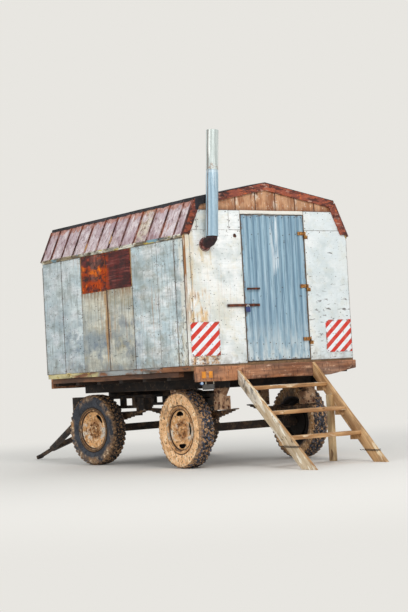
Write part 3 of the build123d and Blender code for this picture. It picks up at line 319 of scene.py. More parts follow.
def window_runs(tree):
    """Brown water has run from the boarded window, most of it down the seam between two sheets."""
    middle = DOOR_END + BELOW_WINDOW_SEAMS[1]
    return (
        ("8f7547", (12, 0.49, 0.62, 51, (1, 1, 40)), ("Z", 1.35, WINDOW_FOOT), 0.65),
        ("8a5f2c", ("Z", WINDOW_FOOT - 0.14, WINDOW_FOOT), (20, 0.42, 0.56, 53, (1, 1, 5)), 0.8),
        *grey_smudges(tree),
        ("b08040", ("Y", middle - 0.03, middle + 0.06, 0.05), (26, 0.44, 0.56, 59, (1, 1, 8)), 0.85),
        ("4d3018", ("Y", middle - 0.01, middle + 0.016, 0.012), (40, 0.36, 0.48, 57, (1, 1, 5)), 0.92),
    )


def grey_smudges(tree):
    """Old grey paint wiped over the lower half of the wall, in soft patches."""
    place = mask(tree, ("Z", 2.12, 1.88), ("Y", DOOR_END + 1.15, DOOR_END + 3.05, 0.18))
    torn = mask(tree, ("Y", DOOR_END + 0.34, DOOR_END + 0.16), ("Z", 2.05, 1.7))
    return (
        ("7d8d98", (130, 0.46, 0.62, 21, (1, 1.8, 1.2)), place, 0.75),
        ("65768a", (60, 0.52, 0.62, 61, (1, 1.8, 1.6)), place, 0.55),
        ("8fa6b5", ("Y", DOOR_END + 1.9, DOOR_END + 3.3), 0.32),
        ("6d6f68", (40, 0.56, 0.62, 65, (1, 1, 3)), 0.3),
        ("6a7472", (11, 0.56, 0.64, 73, (1, 1, 26)), 0.45),
        ("e3e2d6", ("Y", DOOR_END, DOOR_END + 0.08, 0.012), (60, 0.34, 0.5, 63), 0.75),
        ("b5a888", torn, (30, 0.5, 0.6, 67, (1, 1, 2)), 0.6),
        ("40372f", torn, (15, 0.56, 0.62, 69, (1, 1, 2)), 0.9),
    )


def sprayed_corrugated():
    """Corrugated roofing tin, rolled and sprayed grey-blue: a satin skin, finely streaked by water."""
    tree = open_tin("corrugated_tin_sprayed_grey_blue")
    pale = patches(tree, 11, 0.54, 0.64, 16, (1, 1, 26))
    # The water's streaks are 3 to 8 mm apart and are drawn at 9 to 11 mm so that they show
    colour = coats(
        tree, "8fb0c2",
        ("7f9fb4", (240, 0.42, 0.6, 0, (1, 1, 2))),
        ("6a8ba1", (9, 0.44, 0.6, 4, (1, 1, 60)), 0.6),
        # Painted shade in the troughs of the corrugations and painted highlights along their crests
        ("527189", ("crest", 0.34, 0.0), 0.62),
        ("b4cdd8", ("crest", 0.0, 1.0), (16, 0.42, 0.6, 24, (1, 1, 30)), 0.7),
        ("4c6a81", (9, 0.54, 0.62, 8, (1, 1, 30)), 0.7),
        ("b9d0dc", pale, 0.45),
        # A painted glare streak, pale, down the upper door
        ("dfe9ee", ("X", 0.055, 0.15, 0.03), ("Z", 2.45, 3.02, 0.12), (14, 0.46, 0.58, 13, (1, 1, 22)),
         0.85),
        ("b9cdd6", ("Z", 1.95, 1.35), 0.35),
        ("dbe4e6", ("Z", 1.95, 1.35), pale, 0.7),
        ("dce4e3", ("Z", 1.75, 1.3), (30, 0.42, 0.58, 6, (1, 1, 3)), 0.8),
        ("43302a", (15, 0.68, 0.7, 12), 0.9),
        ("6b5646", ("rim", 0.1, 0.7), (30, 0.44, 0.58, 3), 0.8),
        ("3b322e", ("rim", 0.74, 0.86)),
    )
    return finish("corrugated_tin_sprayed_grey_blue", colour, 0.45, patches(tree, 9, 0.3, 0.7), 0.4, 0.15)


def rusted_sheet():
    """Bare steel sheet left out for years: bright orange blooms on the far one, the near one is scale."""
    name = "steel_sheet_rusted_through"
    tree = open_tin(name)
    split = DOOR_END + BELOW_WINDOW_SEAMS[1]
    far = stretch_of(tree, "Y", split - 0.02, split + 0.04)
    near = stretch_of(tree, "Y", split + 0.04, split - 0.02)
    places = mask(tree, ("Y", split, split + 0.2, 0.1), mask(tree, far, ("Z", 2.6, 2.42)),
                  mask(tree, far, ("Z", 2.56, 2.66, 0.05), 0.75), operation="MAXIMUM")
    bloom = mask(tree, (75, 0.44, 0.56, 6, (1, 1.6, 1)), places)
    colour = coats(
        tree, "681f1b",
        ("390e0f", (90, 0.42, 0.6, 7, (1, 1.6, 1))),
        ("220a0c", near, (10, 0.48, 0.62, 9, (1, 16, 1)), 0.75),
        # A painted sheen on the near sheet, in pale level streaks
        ("9a544c", near, (14, 0.55, 0.66, 10, (1, 16, 1)), 0.6),
        ("260d0e", far, (60, 0.46, 0.56, 25, (1, 1.6, 1)), 0.9),
        ("a8452a", far, (40, 0.56, 0.64, 26, (1, 1.6, 1)), 0.7),
        # A painted pinkish highlight on the far sheet
        ("d08f7c", ("Y", split + 0.16, split + 0.34, 0.08), ("Z", 2.5, 2.8, 0.07),
         (60, 0.32, 0.66, 33, (1, 1.6, 1.8)), 0.45),
        ("c04a12", bloom, 0.92),
        ("f27c18", (46, 0.5, 0.6, 5, (1, 1.6, 1)), bloom, far, 0.95),
        ("2c0f0e", far, (22, 0.56, 0.62, 28, (1, 1.6, 1)), 0.8),
        ("2e1413", (11, 0.54, 0.62, 15, (1, 1, 20)), 0.45),
        ("b35a22", ("rim", 0.5, 0.9), (26, 0.44, 0.58, 3)),
        ("2a1512", ("rim", 0.86, 0.94)),
    )
    rough = add(tree, "MapRange", {"Value": bloom, "To Min": 0.4, "To Max": 0.8})
    return finish(name, colour, rough, patches(tree, 14, 0.3, 0.7), 0.8, **{"Specular IOR Level": 0.18})


def roof_tin():
    """Standing-seam roofing tin in thin red primer, bleached pink-grey, with rust along its top."""
    name = "standing_seam_tin_bleached_primer"
    tree = open_tin(name)
    slope = (1.4, 2.4, 1)
    # Rust shows where the two add up, and stays thin
    top = mask(tree, ("Z", BREAK_Z - 0.13, BREAK_Z - 0.02), (60, 0.3, 0.7, 4, (1, 1, 2.2)),
               operation="ADD")
    top = add(tree, "MapRange", {"Value": top, "From Min": 0.86, "From Max": 1.1})
    flaked = mask(tree, ("Y", DOOR_END + 0.83, DOOR_END + 1.11, 0.02), (60, 0.4, 0.54, 12, (1, 2, 1.4)))
    colour = coats(
        tree, "d9cbce",
        ("b9a2aa", (260, 0.36, 0.64, 0, slope)),
        ("f0e8e9", (40, 0.44, 0.66, 8, (1, 1.6, 12)), 0.8),
        ("9d8084", (90, 0.5, 0.68, 10, slope), 0.5),
        ("7a575c", (16, 0.5, 0.64, 11, (1, 1.3, 26)), 0.68),
        ("5a383a", (13, 0.6, 0.66, 13, (1, 1.3, 26)), 0.75),
        ("82594f", ("rim", 0.3, 0.9), 0.65),
        ("d9d0b8", flaked, 0.8),
        ("5d342a", flaked, (18, 0.54, 0.6, 32, (1, 2, 1.6)), 0.85),
        ("94584a", (13, 0.52, 0.64, 6, (1, 1, 22)), 0.45),
        # Rust has run down beside a few seams only
        ("b3602a", ("rim", 0.1, 0.6), (160, 0.5, 0.6, 14, (1, 1, 2)), 0.92),
        ("b8622c", top, 0.92),
        ("4d251c", top, (26, 0.5, 0.6, 18), 0.85),
        ("6b3a30", ("rim", 0.4, 0.9), (40, 0.42, 0.6, 3, (1, 1, 4)), 0.7),
        ("3c201c", ("rim", 0.78, 0.88)),
    )
    return finish(name, colour, 0.5, patches(tree, 16, 0.3, 0.7), 0.5, 0.1)


def folded_seams():
    """The same tin where it is folded up into seams: the primer is gone from the fold, rust brown."""
    name = "standing_seam_fold_worn_to_rust"
    tree = open_tin(name)
    colour = coats(
        tree, "6a3f3a",
        ("3b1f1d", (60, 0.4, 0.56, 0, (1, 1, 2))),
        ("b5948f", (30, 0.56, 0.64, 4, (1, 1, 3)), 0.8),
        ("a1532d", ("Z", BREAK_Z - 0.12, BREAK_Z), (30, 0.36, 0.56, 7)),
    )
    return finish(name, colour, 0.7, patches(tree, 16, 0.3, 0.7), 0.6, 0.1)


def red_oxide(name, paint, rust, dark, pale="c79a88"):
    """Folded steel trim in red oxide primer: matt brick red, flaking to orange rust and dark scale."""
    tree = open_tin(name)
    colour = coats(
        tree, paint,
        (rust, (45, 0.44, 0.58, 0, (1.6, 1, 1))),
        (dark, (30, 0.5, 0.58, 5, (2.6, 1, 1)), 0.9),
        (dark, (13, 0.54, 0.6, 11, (4, 1, 1)), 0.8),
        (pale, (20, 0.58, 0.64, 8, (2, 1, 1)), 0.85),
        ("cf6a33", (26, 0.62, 0.66, 14), 0.8),
    )
    return finish(name, colour, 0.72, patches(tree, 20, 0.3, 0.7, 0, (1, 1, 0.5)), 2.0, 0.1)


def felt():
    """Bituminous roofing felt, rolled out and torched: near black, gritty, with grey worn folds."""
    tree = open_tin("roofing_felt_torched_down")
    # The felt comes in rolls, lapped along their edges where the tar has run out
    within = add(tree, "Math", {0: place_on(tree, "Y"), 1: FELT_ROLL}, operation="FLOORED_MODULO")
    lap = add(tree, "MapRange", {"Value": within, "From Min": 0.012, "From Max": 0.006})
    worn_lap = add(tree, "MapRange", {"Value": within, "From Min": 0.075, "From Max": 0.01})
    colour = coats(
        tree, "1f1e21",
        ("33303a", (120, 0.45, 0.7)),
        ("454148", (200, 0.5, 0.62, 9, (4, 1, 1)), 0.5),
        ("6a655f", worn_lap, (40, 0.42, 0.58, 12), 0.6),
        ("77726e", (26, 0.6, 0.72, 4), 0.6),
        ("09090b", lap, 0.9),
    )
    # Grit is under 2 mm and is drawn at 8 mm so that it shows
    return finish("roofing_felt_torched_down", colour, 0.9, patches(tree, 8, 0.3, 0.7), 1.5)


def wood(name, pale, deep, turn=(0, 0, 0), grey=0.0, dirt=0.0, gloss=0.75, dirt_tint="4a3a2c", paint=(),
         own=None, strong=0.6):
    """Sawn softwood: straight grain with darker heartwood bands, checks and a few knots."""
    tree = open_tin(name)

    def grained(size, low, high, shift, long, detail=5.0):
        return patches(tree, size, low, high, shift, (long, 1, 1), turn, detail)

    # Growth rings are 3 to 5 mm apart; they are drawn at 9 mm so that they show
    grain = grained(9, 0.34, 0.68, 0, 34, 3.0)
    check = grained(7, 0.64, 0.7, 6, 50)
    colour = coats(
        tree, pale,
        (deep, grain, strong),
        (deep, grained(38, 0.42, 0.6, 3, 14), strong),
        ("5f3d26", grained(60, 0.72, 0.76, 9, 1.5, 1.0), 0.8),
        ("b3aa9c", grained(120, 0.40, 0.58, 12, 3), grey),
        *((tint, grained(size, low, low + 0.03, size / 9, 4)) for tint, size, low in paint),
        *(own(tree) if own else ()),
        (dirt_tint, grained(60, 0.44, 0.58, 15, 2.4), dirt),
        ("2e241c", check, 0.85),
    )
    relief = add(tree, "Math", {0: grain, 1: check}, operation="SUBTRACT")
    return finish(name, colour, gloss, relief, 1.0)


def plaster_chips(tree):
    """White paint left in chips where the varnished boards meet, and dark joints."""
    pitch = (GABLE_RIGHT - GABLE_LEFT) / GABLE_BOARDS
    within = add(tree, "Math", {0: place_on(tree, "X"), 1: GABLE_LEFT}, operation="SUBTRACT")
    within = add(tree, "Math", {0: within, 1: pitch}, operation="FLOORED_MODULO")
    away = add(tree, "Math", {0: within, 1: pitch / 2}, operation="SUBTRACT")
    away = add(tree, "Math", {0: away}, operation="ABSOLUTE")
    close = add(tree, "MapRange",
                {"Value": away, "From Min": pitch / 2 - 0.055, "From Max": pitch / 2 - 0.018})
    joint = add(tree, "MapRange",
                {"Value": away, "From Min": pitch / 2 - 0.01, "From Max": pitch / 2 - 0.006})
    # The ply's own figure, in soft upright flames
    figure = patches(tree, 60, 0.46, 0.54, stretch=(0.7, 1, 1.6), shift=46, detail=1.5)
    return (
        ("e0b48c", figure, 0.45),
        ("e9d9c6", (16, 0.6, 0.66, 48), 0.8),
        ("ead9c4", close, (22, 0.5, 0.56, 44, (1, 1, 3)), 0.85),
        ("6b3a20", ("Z", BOARDS_FROM + 0.05, BOARDS_FROM), 0.6),
        ("54301c", joint),
    )


def hewn(tree):
    """Saw marks across the beam, dark checks and an orange stain on its left."""
    return (
        ("d18d5e", ("X", 0.2, -0.9), (120, 0.36, 0.52, 64, (2, 1, 1)), 0.7),
        ("4a2a1c", (12, 0.54, 0.64, 62, (1, 1, 5)), 0.75),
        ("e0c0a4", (20, 0.62, 0.68, 66, (2, 1, 1)), 0.7),
    )


def stained_top(tree):
    """Grey mould and dark runs on the plank's upper end, knots and specks all along."""
    top = stretch_of(tree, "Z", 0.8, 0.98)
    return (
        ("b3aea3", top, 0.45),
        ("3c3a3c", top, (26, 0.5, 0.58, 68, (1, 1, 3)), 0.9),
    )


def side_board_paint(tree):
    """Cream and yellow paint on the far half, thin grey on the near half, bare wood by the door."""
    far = stretch_of(tree, "Y", DOOR_END + 2.14, DOOR_END + 2.24)
    mid = strip(tree, "Y", DOOR_END + 0.66, DOOR_END + 2.2, 0.04)
    worn_off = patches(tree, 50, 0.36, 0.46, 52, (1, 4, 1))
    return (
        ("a2a7a6", mid, worn_off),
        ("5d584e", mid, (34, 0.52, 0.58, 54, (1, 4, 1)), 0.8),
        ("d3c793", far, worn_off),
        ("a9b2a9", far, (60, 0.56, 0.62, 56, (1, 3, 1)), 0.9),
        ("c9ae5e", far, (44, 0.54, 0.59, 58, (1, 3, 1)), 0.8),
        ("3a3029", (18, 0.6, 0.65, 60, (1, 3, 1)), 0.85),
    )


def iron(name, base, rust, dust, dusty, scale=1.0, metal=0.3, own=None):
    """Hot-rolled steel with mill scale, rusted and dusted over by the road: dull, dark and blotchy."""
    tree = open_tin(name)
    colour = coats(
        tree, base,
        (rust, (90 * scale, 0.44, 0.58)),
        (base, (40 * scale, 0.5, 0.6, 4), 0.8),
        (dust, (70 * scale, 0.5, 0.62, 7), dusty),
        (dust, (24 * scale, 0.6, 0.66, 10), dusty),
        *(own(tree) if own else ()),
    )
    return finish(name, colour, 0.78, patches(tree, 12 * scale, 0.3, 0.7), 0.9, metal)


def red_at_wall(tree):
    """The elbow's soot has burnt off where it enters the wall, down to red rust with painted pinkish
    highlights.
    """
    near = stretch_of(tree, "Y", DOOR_END - 0.075, DOOR_END - 0.05)
    return (
        ("5f2c28", near, 0.85),
        # A painted pinkish highlight, in patches
        ("b8807a", near, (26, 0.54, 0.62, 72), 0.8),
        ("33191a", near, (22, 0.54, 0.62, 74), 0.8),
    )


def rail_iron():
    """The long channels: near black under the floor, partly painted shade, with cast hangers rusted pale and
    dusty below.
    """
    name = "rolled_steel_and_cast_hangers"
    tree = open_tin(name)
    low = stretch_of(tree, "Z", 0.985, 0.965)
    colour = coats(
        # The near-black ground is partly painted shade under the floor
        tree, "1e1a19",
        ("30251f", (90, 0.48, 0.6)),
        ("6d5a48", (30, 0.58, 0.66, 4), 0.6),
        ("8d6a50", low),
        ("b79474", low, (50, 0.46, 0.56, 6)),
        ("4a3327", low, (40, 0.54, 0.6, 8), 0.85),
        ("d3bda2", low, (22, 0.6, 0.65, 10), 0.85),
    )
    return finish(name, colour, 0.82, patches(tree, 12, 0.3, 0.7), 1.2, 0.2)


def pipe_tin(name, base, shade, light, rust_z, rusty):
    """Galvanised sheet rolled into pipe and locked at a seam: faint spangle, soft shine, heat stains."""
    tree = open_tin(name)
    place = add(tree, "TexCoord", {}, out="Object")
    # Zinc spangles are 10 to 20 mm across
    spangle = add(tree, "TexVoronoi", {"Vector": place, "Scale": 55.0}, out="Color")
    grey = add(tree, "RGBToBW", {"Color": spangle})
    colour = coats(
        tree, base,
        (shade, grey, 0.35),
        (shade, (16, 0.5, 0.62, 0, (1, 1, 22)), 0.7),
        (light, (18, 0.54, 0.64, 9, (1, 1, 26)), 0.8),
        ("5d463c", ("seam", 0.2, 0.9), 0.85),
        ("8a5430", ("Z", rust_z, rust_z + 0.06, 0.03), (22, 0.5, 0.62, 5), rusty),
        (light, ("Z", rust_z - 0.03, rust_z - 0.005, 0.006), 0.35),
    )
    return finish(name, colour, 0.42, patches(tree, 60, 0.3, 0.7), 0.8, 0.25)


def stripes():
    """Reflective sheeting stuck on a thin steel plate: red bars on white, its edges curled."""
    tree = open_tin("reflective_sheeting_red_on_white")
    place = add(tree, "TexCoord", {}, out="Object")
    slanted = add(tree, "Mapping", {"Vector": place, "Rotation": (0, math.radians(-50), 0)})
    across = add(tree, "SeparateXYZ", {"Vector": slanted}, out="X")
    bar = add(tree, "Math", {0: across, 1: STRIPE_PITCH}, operation="FLOORED_MODULO")
    bar = add(tree, "MapRange",
              {"Value": bar, "From Min": STRIPE_PITCH * 0.49, "From Max": STRIPE_PITCH * 0.51})
    colour = coats(
        tree, "eef0f4",
        ("d32c18", bar),
        ("cdbfae", (50, 0.5, 0.66), 0.16),
        ("8d5a45", (16, 0.62, 0.67, 5), 0.75),
        ("7d5540", ("rim", 0.2, 1.0), (26, 0.48, 0.58, 9)),
    )
    return finish("reflective_sheeting_red_on_white", colour, 0.4, patches(tree, 40, 0.3, 0.7), 0.3)


def plain(name, tint, dirt, amount, rough, size=40, metal=0.0, **sockets):
    """A small moulded or painted fitting, dulled by dirt."""
    tree = open_tin(name)
    colour = coats(tree, tint, (dirt, (size, 0.42, 0.66), amount))
    return finish(name, colour, rough, patches(tree, 10, 0.3, 0.7), 0.4, metal, **sockets)


def muddy_rubber(name, mud, treaded, crust, block):
    """Tyre rubber, moulded, under dried clay: dusty sidewalls, and blocks worn clean to blue-black.

    Mud is how far the sidewall is covered, treaded how much clay the tread keeps.
    """
    tree = open_tin(name)
    tread = kept(tree, "reach", 0.452, 0.466)
    # The less mud there is, the more of the sidewall beside the rim is clean
    clay = mask(tree, (110, 0.6 - mud * 0.36, 0.8 - mud * 0.42, 6), ("reach", 0.47, 0.455),
                ("reach", 0.44 - 0.17 * mud, 0.48 - 0.17 * mud))
    bits = mask(tree, (15, 0.59 - treaded * 0.09, 0.63 - treaded * 0.09, 21),
                mask(tree, ("outward", 0.055, 0.105), treaded, (34, 0.4, 0.48, 27)), operation="MAXIMUM")
    colour = coats(
        tree, "363a42",
        ("4f525a", (60, 0.44, 0.62), 0.7),
        ("1d1d21", (18, 0.52, 0.64, 2), 0.7),
        (crust, clay),
        ("b98653", clay, (34, 0.48, 0.62, 9), 0.8),
        # Pale flecks on the clay are painted highlights; dark flecks are cracks in it and painted shade in
        # its dents
        ("ffe2ba", clay, (22, 0.52, 0.62, 17), 0.9),
        ("4a2f1c", clay, (16, 0.57, 0.63, 13), 0.9),
        ("2a2c33", tread),
        (block, tread, (20, 0.46, 0.58, 31), 0.85),
        # Painted shade at the foot of the blocks, between the lugs
        ("15151a", tread, ("reach", 0.474, 0.462), 0.85),
        ("c2976b", tread, bits, 0.95),
        # A painted shadow ring in the gap between the tyre's bead and the rim's flange
        ("33251b", ("reach", 0.294, 0.3), ("reach", 0.316, 0.308), 0.9),
    )
    relief = add(tree, "Math", {0: patches(tree, 18, 0.3, 0.7), 1: clay}, operation="ADD")
    return finish(name, colour, 0.88, relief, 5.0)


def muddy_wheel(name, mud):
    """Pressed steel wheel, once painted pale, under dried clay: ochre crust with dark flaked places."""
    tree = open_tin(name)
    crust = patches(tree, 90, 0.39 - mud * 0.15, 0.47 - mud * 0.15, 6)
    colour = coats(
        tree, "8a7b69",
        ("4b3b30", (30, 0.5, 0.6, 2)),
        ("e4ae76", crust),
        ("b07d4a", crust, (40, 0.48, 0.6, 8), 0.8),
        # Pale flecks are painted highlights on the clay
        ("f8dab0", (24, 0.54, 0.62, 15), 0.8),
        ("dcd8cc", ("Z", 0.38, 0.54, 0.05), ("reach", 0.1, 0.15), (40, 0.46, 0.56, 19), 0.8),
        ("4e3624", (16, 0.57, 0.63, 11), 0.85),
        ("7b5334", ("reach", 0.14, 0.1), (30, 0.44, 0.58, 21), 0.8),
        # Painted shade in the rim's well, a brown crescent inside the flange
        ("6b4a30", ("reach", 0.245, 0.252), ("reach", 0.292 - 0.01 * mud, 0.284 - 0.012 * mud),
         (60, 0.38, 0.52, 23), 0.75),
        ("33261d", ("reach", 0.266, 0.274), 1.3 - 1.2 * mud),
        ("4a3525", ("reach", 0.262, 0.256), ("reach", 0.25, 0.254)),
        # Painted shade: everything behind the disc's face is near black
        ("17120f", ("inward", -0.046, -0.034)),
    )
    return finish(name, colour, 0.9, patches(tree, 16, 0.3, 0.7), 5.0)


def clap(*shapes):
    """One shape from several."""
    whole = bmesh.new()
    for shape in shapes:
        mesh = bpy.data.meshes.new("part")
        shape.to_mesh(mesh)
        shape.free()
        whole.from_mesh(mesh)
        bpy.data.meshes.remove(mesh)
    return whole


def keep(shape, name, measure):
    """Keeps a value at each point of a shape, for its material to read."""
    layer = shape.verts.layers.float.new(name)
    for v in shape.verts:
        v[layer] = measure(v.co)
    return shape


def off_axle(point):
    """How far a point is from the X axis."""
    return math.hypot(point.y, point.z)


def stood(spot, angle, axis):
    """A matrix that turns a shape about an axis and stands it on a spot."""
    return Matrix.Translation(spot) @ Matrix.Rotation(angle, 4, axis)


def moved(shape, place):
    """A shape put where a matrix says."""
    bmesh.ops.transform(shape, matrix=place, verts=shape.verts)
    return shape


def turned(line, steps, closed=False):
    """A shape turned about the X axis from its outline, in pairs of a place along it and a radius."""
    shape = bmesh.new()
    verts = [shape.verts.new((x, 0, r)) for x, r in line]
    pairs = list(zip(verts, verts[1:])) + ([(verts[-1], verts[0])] if closed else [])
    edges = [shape.edges.new(pair) for pair in pairs]
    bmesh.ops.spin(shape, geom=verts + edges, cent=(0, 0, 0), axis=(1, 0, 0), angle=2 * math.pi,
                   steps=steps, use_merge=True)
    bmesh.ops.remove_doubles(shape, verts=shape.verts, dist=1e-5)
    bmesh.ops.recalc_face_normals(shape, faces=shape.faces)
    return shape


def all_round(shape, count):
    """A shape repeated at even places round the X axis."""
    bmesh.ops.spin(shape, geom=shape.verts[:] + shape.edges[:] + shape.faces[:], cent=(0, 0, 0),
                   axis=(1, 0, 0), angle=2 * math.pi * (count - 1) / count, steps=count - 1,
                   use_duplicate=True)
    return shape


def put(name, data, slot, body="wagon"):
    """Makes a modelled shape a piece of the wagon, and puts it on what carries it."""
    piece = bpy.data.objects.new(name, data)
    bpy.context.scene.collection.objects.link(piece)
    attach(piece, body)
    return piece


def hang(name, shape, finishes, slot, body="wagon", instead=(), crease=35, pick=None):
    """Puts a shape on the wagon with its finish; of several, pick says which, from a face's middle."""
    if pick:
        for face in shape.faces:
            face.material_index = pick(face.calc_center_median())
    mesh = bpy.data.meshes.new(name)
    shape.to_mesh(mesh)
    shape.free()
    for made in finishes if isinstance(finishes, tuple) else (finishes,):
        mesh.materials.append(made)
    mesh.shade_smooth()
    mesh.set_sharp_from_angle(angle=math.radians(crease))
    piece = put(name, mesh, slot, body)
    if instead:
        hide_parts(*instead)


def cut(shape, point, facing, near=1e-6, **sides):
    """A shape cut along a plane."""
    geometry = shape.verts[:] + shape.edges[:] + shape.faces[:]
    bmesh.ops.bisect_plane(shape, geom=geometry, dist=near, plane_co=point, plane_no=facing, **sides)
    return shape


def cut_across(shape, axis, step):
    """Cuts a shape every so often along an axis, so that it can bend."""
    low = min(v.co[axis] for v in shape.verts)
    high = max(v.co[axis] for v in shape.verts)
    count = int((high - low) / step)
    facing = Vector([float(n == axis) for n in range(3)])
    for number in range(1, count + 1):
        cut(shape, facing * (low + (high - low) * number / (count + 1)), facing, near=1e-5)


def soften(shape, width, angle=25, segments=2):
    """Rounds every edge that is sharper than an angle."""
    sharp = [e for e in shape.edges
             if len(e.link_faces) == 2 and e.calc_face_angle(0) > math.radians(angle)]
    bmesh.ops.bevel(shape, geom=sharp, offset=width, segments=segments, profile=0.5, affect="EDGES",
                    material=-1, clamp_overlap=True)


def worn(node, edge, bend=0.0, steps=(0, 0, 0), pace=2.5):
    """A copy of a solid with its edges worn round and its faces a little crooked."""
    shape = bmesh.new()
    shape.from_mesh(NODES[node].data)
    bmesh.ops.remove_doubles(shape, verts=shape.verts, dist=1e-5)
    bmesh.ops.dissolve_limit(shape, angle_limit=math.radians(1), verts=shape.verts, edges=shape.edges)
    soften(shape, edge)
    for axis, step in enumerate(steps):
        if step:
            cut_across(shape, axis, step)
    for v in shape.verts:
        v.co += noise.noise_vector(v.co * pace) * bend
    return shape


def cube(sides):
    """A block whose three edges and place are the columns of a matrix."""
    shape = bmesh.new()
    bmesh.ops.create_cube(shape, size=1, matrix=sides)
    return shape


def board(low, high, edge=0.004):
    """A sawn board between two corners."""
    low, high = Vector(low), Vector(high)
    shape = cube(Matrix.Translation((low + high) / 2) @ Matrix.Diagonal((*(high - low), 1)))
    soften(shape, edge)
    return shape


def belly(point, seed):
    """How much a sheet bellies at a point, 0 to 1: swells, smaller knocks and a few sharp creases."""
    point = point + Vector((seed * 3.7, seed * 1.9, -seed * 2.3))
    swells = ((0.45, 1.6), (0.34, 4.0), (0.20, 9.0))
    swell = 0.5 + sum(part * noise.noise(point * pace) for part, pace in swells)
    crease = max(0.0, 0.10 - abs(noise.noise(point * 2.2 + Vector((9, 4, 2))))) * 3.0
    return min(1.0, max(0.0, swell - crease))


def laid(along, up, out, middle):
    """A matrix from three edges and a middle."""
    place = Matrix((along, up, out)).transposed().to_4x4()
    place.translation = middle
    return place


def tin(corner, along, up, wide, high, seed, lift=0.002, depth=0.009, pitch=0.05, wave=None,
        rim_wide=0.035):
    """A thin sheet on a flat wall: nailed down at its edges, bellied out between them.

    The sheet's rim is kept as an attribute, because that is where dirt and rust gather. A wave
    gives corrugations, from the distance along the sheet to how far they stand back.
    """
    corner, along, up = Vector(corner), Vector(along).normalized(), Vector(up).normalized()
    out = along.cross(up)
    shape = bmesh.new()
    place = laid(along * wide, up * high, out, corner + (along * wide + up * high) / 2)
    bmesh.ops.create_grid(shape, x_segments=1, y_segments=1, size=0.5, matrix=place)
    for facing, reach, step in ((along, wide, 0.0095 if wave else pitch), (up, high, pitch)):
        count = max(2, round((reach - 2 * rim_wide) / step))
        marks = [rim_wide + (reach - 2 * rim_wide) * n / count for n in range(count + 1)]
        for mark in (LAP, *marks, reach - LAP):
            cut(shape, corner + facing * mark, facing)
    rim = shape.verts.layers.float.new("rim")
    crest = shape.verts.layers.float.new("crest")
    for v in shape.verts:
        across, rise = (v.co - corner).dot(along), (v.co - corner).dot(up)
        inset = min(across, wide - across, rise, high - rise)
        v[rim] = max(0.0, 1.0 - inset / rim_wide)
        hold = max(0.0, min(1.0, inset / 0.12)) ** 0.7
        back = wave(across) if wave else 0.0
        v[crest] = 1.0 - back / CORRUGATION_DEPTH
        v.co += out * (lift + depth * belly(v.co, seed) * hold - back)
    return shape


def thick(shape, gauge=SHEET):
    """Gives a sheet its thickness."""
    bmesh.ops.solidify(shape, geom=shape.faces[:], thickness=gauge)
    return shape


def looking(out):
    """The turn that points a shape's Z axis out of a wall."""
    return Vector(out).to_track_quat("Z", "Y").to_matrix().to_4x4()


def nails(spots, out):
    """Round nail heads, pressed a little into the tin."""
    turn = looking(out)
    whole = bmesh.new()
    for spot in spots:
        place = Matrix.Translation(Vector(spot)) @ turn @ Matrix.Diagonal((NAIL, NAIL, NAIL * 0.45, 1))
        bmesh.ops.create_uvsphere(whole, u_segments=7, v_segments=5, radius=1, matrix=place)
    return whole


def nail_line(start, end, step):
    """Nail places from one point to another, about a step apart."""
    start, end = Vector(start), Vector(end)
    count = max(1, round((end - start).length / step))
    drift = (end - start).normalized() * NAIL_JITTER
    return [start.lerp(end, n / count) + drift * luck.uniform(-1, 1) for n in range(count + 1)]


# Finishes
ALONG_Y = (0, 0, math.radians(90))
UPRIGHT = (0, math.radians(90), 0)
WHITE_TIN = brushed_tin("roofing_tin_brushed_white", "f9fbfa", "fdfdfb", "e9f0f1", "c3ccca", "dccfa8",
                        own=door_end_stains, runny=0.2, stained=0.3, edged=0.4, smudged=0.3)
FAR_TIN = brushed_tin("roofing_tin_brushed_white_far_end", "e8eae6", "f6f6f2", "d3dcdc", "b4bab2", "bda678",
                      marks=0.4, stained=0.35, dent_light_and_shade=0.6)
GREY_TIN = brushed_tin("roofing_tin_limewashed_grey", "eff7f4", "ffffff", "c6d9df", "899a9e", "8c8b76",
                       own=grey_smudges, marks=0.36, runny=0.5, smudged=0.6, dent_light_and_shade=0.74)
YELLOW_TIN = brushed_tin("roofing_tin_limewashed_yellowed", "d9d9c9", "f2eedc", "c4cbc8", "98957f", "a89a70",
                         own=window_runs, smudged=0.6, dent_light_and_shade=0.7)
DOOR_TIN = sprayed_corrugated()
RUSTED = rusted_sheet()
ROOF_TIN = roof_tin()
ROOF_FOLDS = folded_seams()
RED_TRIM = red_oxide("steel_trim_red_oxide", "8d4838", "ad5a3c", "47221f")
DARK_TRIM = red_oxide("steel_trim_red_oxide_dark", "6d352c", "94462a", "2f1a1a", pale="a87868")
FELT = felt()
BARE_WOOD = wood("spruce_boards_planed_inside", "c9a878", "a27d50", turn=ALONG_Y)
FAR_WOOD = wood("spruce_boards_planed_inside_across", "c9a878", "a27d50")
VARNISHED = wood("birch_ply_varnished_weathered", "d39c70", "8a5232", turn=UPRIGHT, dirt=0.40,
                 dirt_tint="7a4526", gloss=0.45, own=plaster_chips, strong=0.7)
PAINTED_BOARD = wood("pine_board_old_paint", "a9714a", "6e4326", turn=ALONG_Y, dirt=0.35,
                     dirt_tint="3d2c20", own=side_board_paint)
OLD_PAINTS = (("e0dccb", 60, 0.50), ("7fa3b0", 44, 0.56), ("c7b04f", 34, 0.58), ("37302a", 18, 0.60))
EAVE_BOARD = wood("pine_batten_old_paint", "b9ad90", "7a6446", turn=ALONG_Y, dirt=0.7,
                  dirt_tint="4a3c2c", paint=OLD_PAINTS)
HEADER = wood("pine_board_brushed_white", "b98a5a", "8d6743", paint=(("eae6dc", 160, 0.34),))
BEAM = wood("pine_beam_creosoted_reddish", "bc8058", "6a3f2a", grey=0.2, dirt=0.45, dirt_tint="3b241a",
            strong=0.8, paint=(("d0a483", 40, 0.62),), own=hewn)
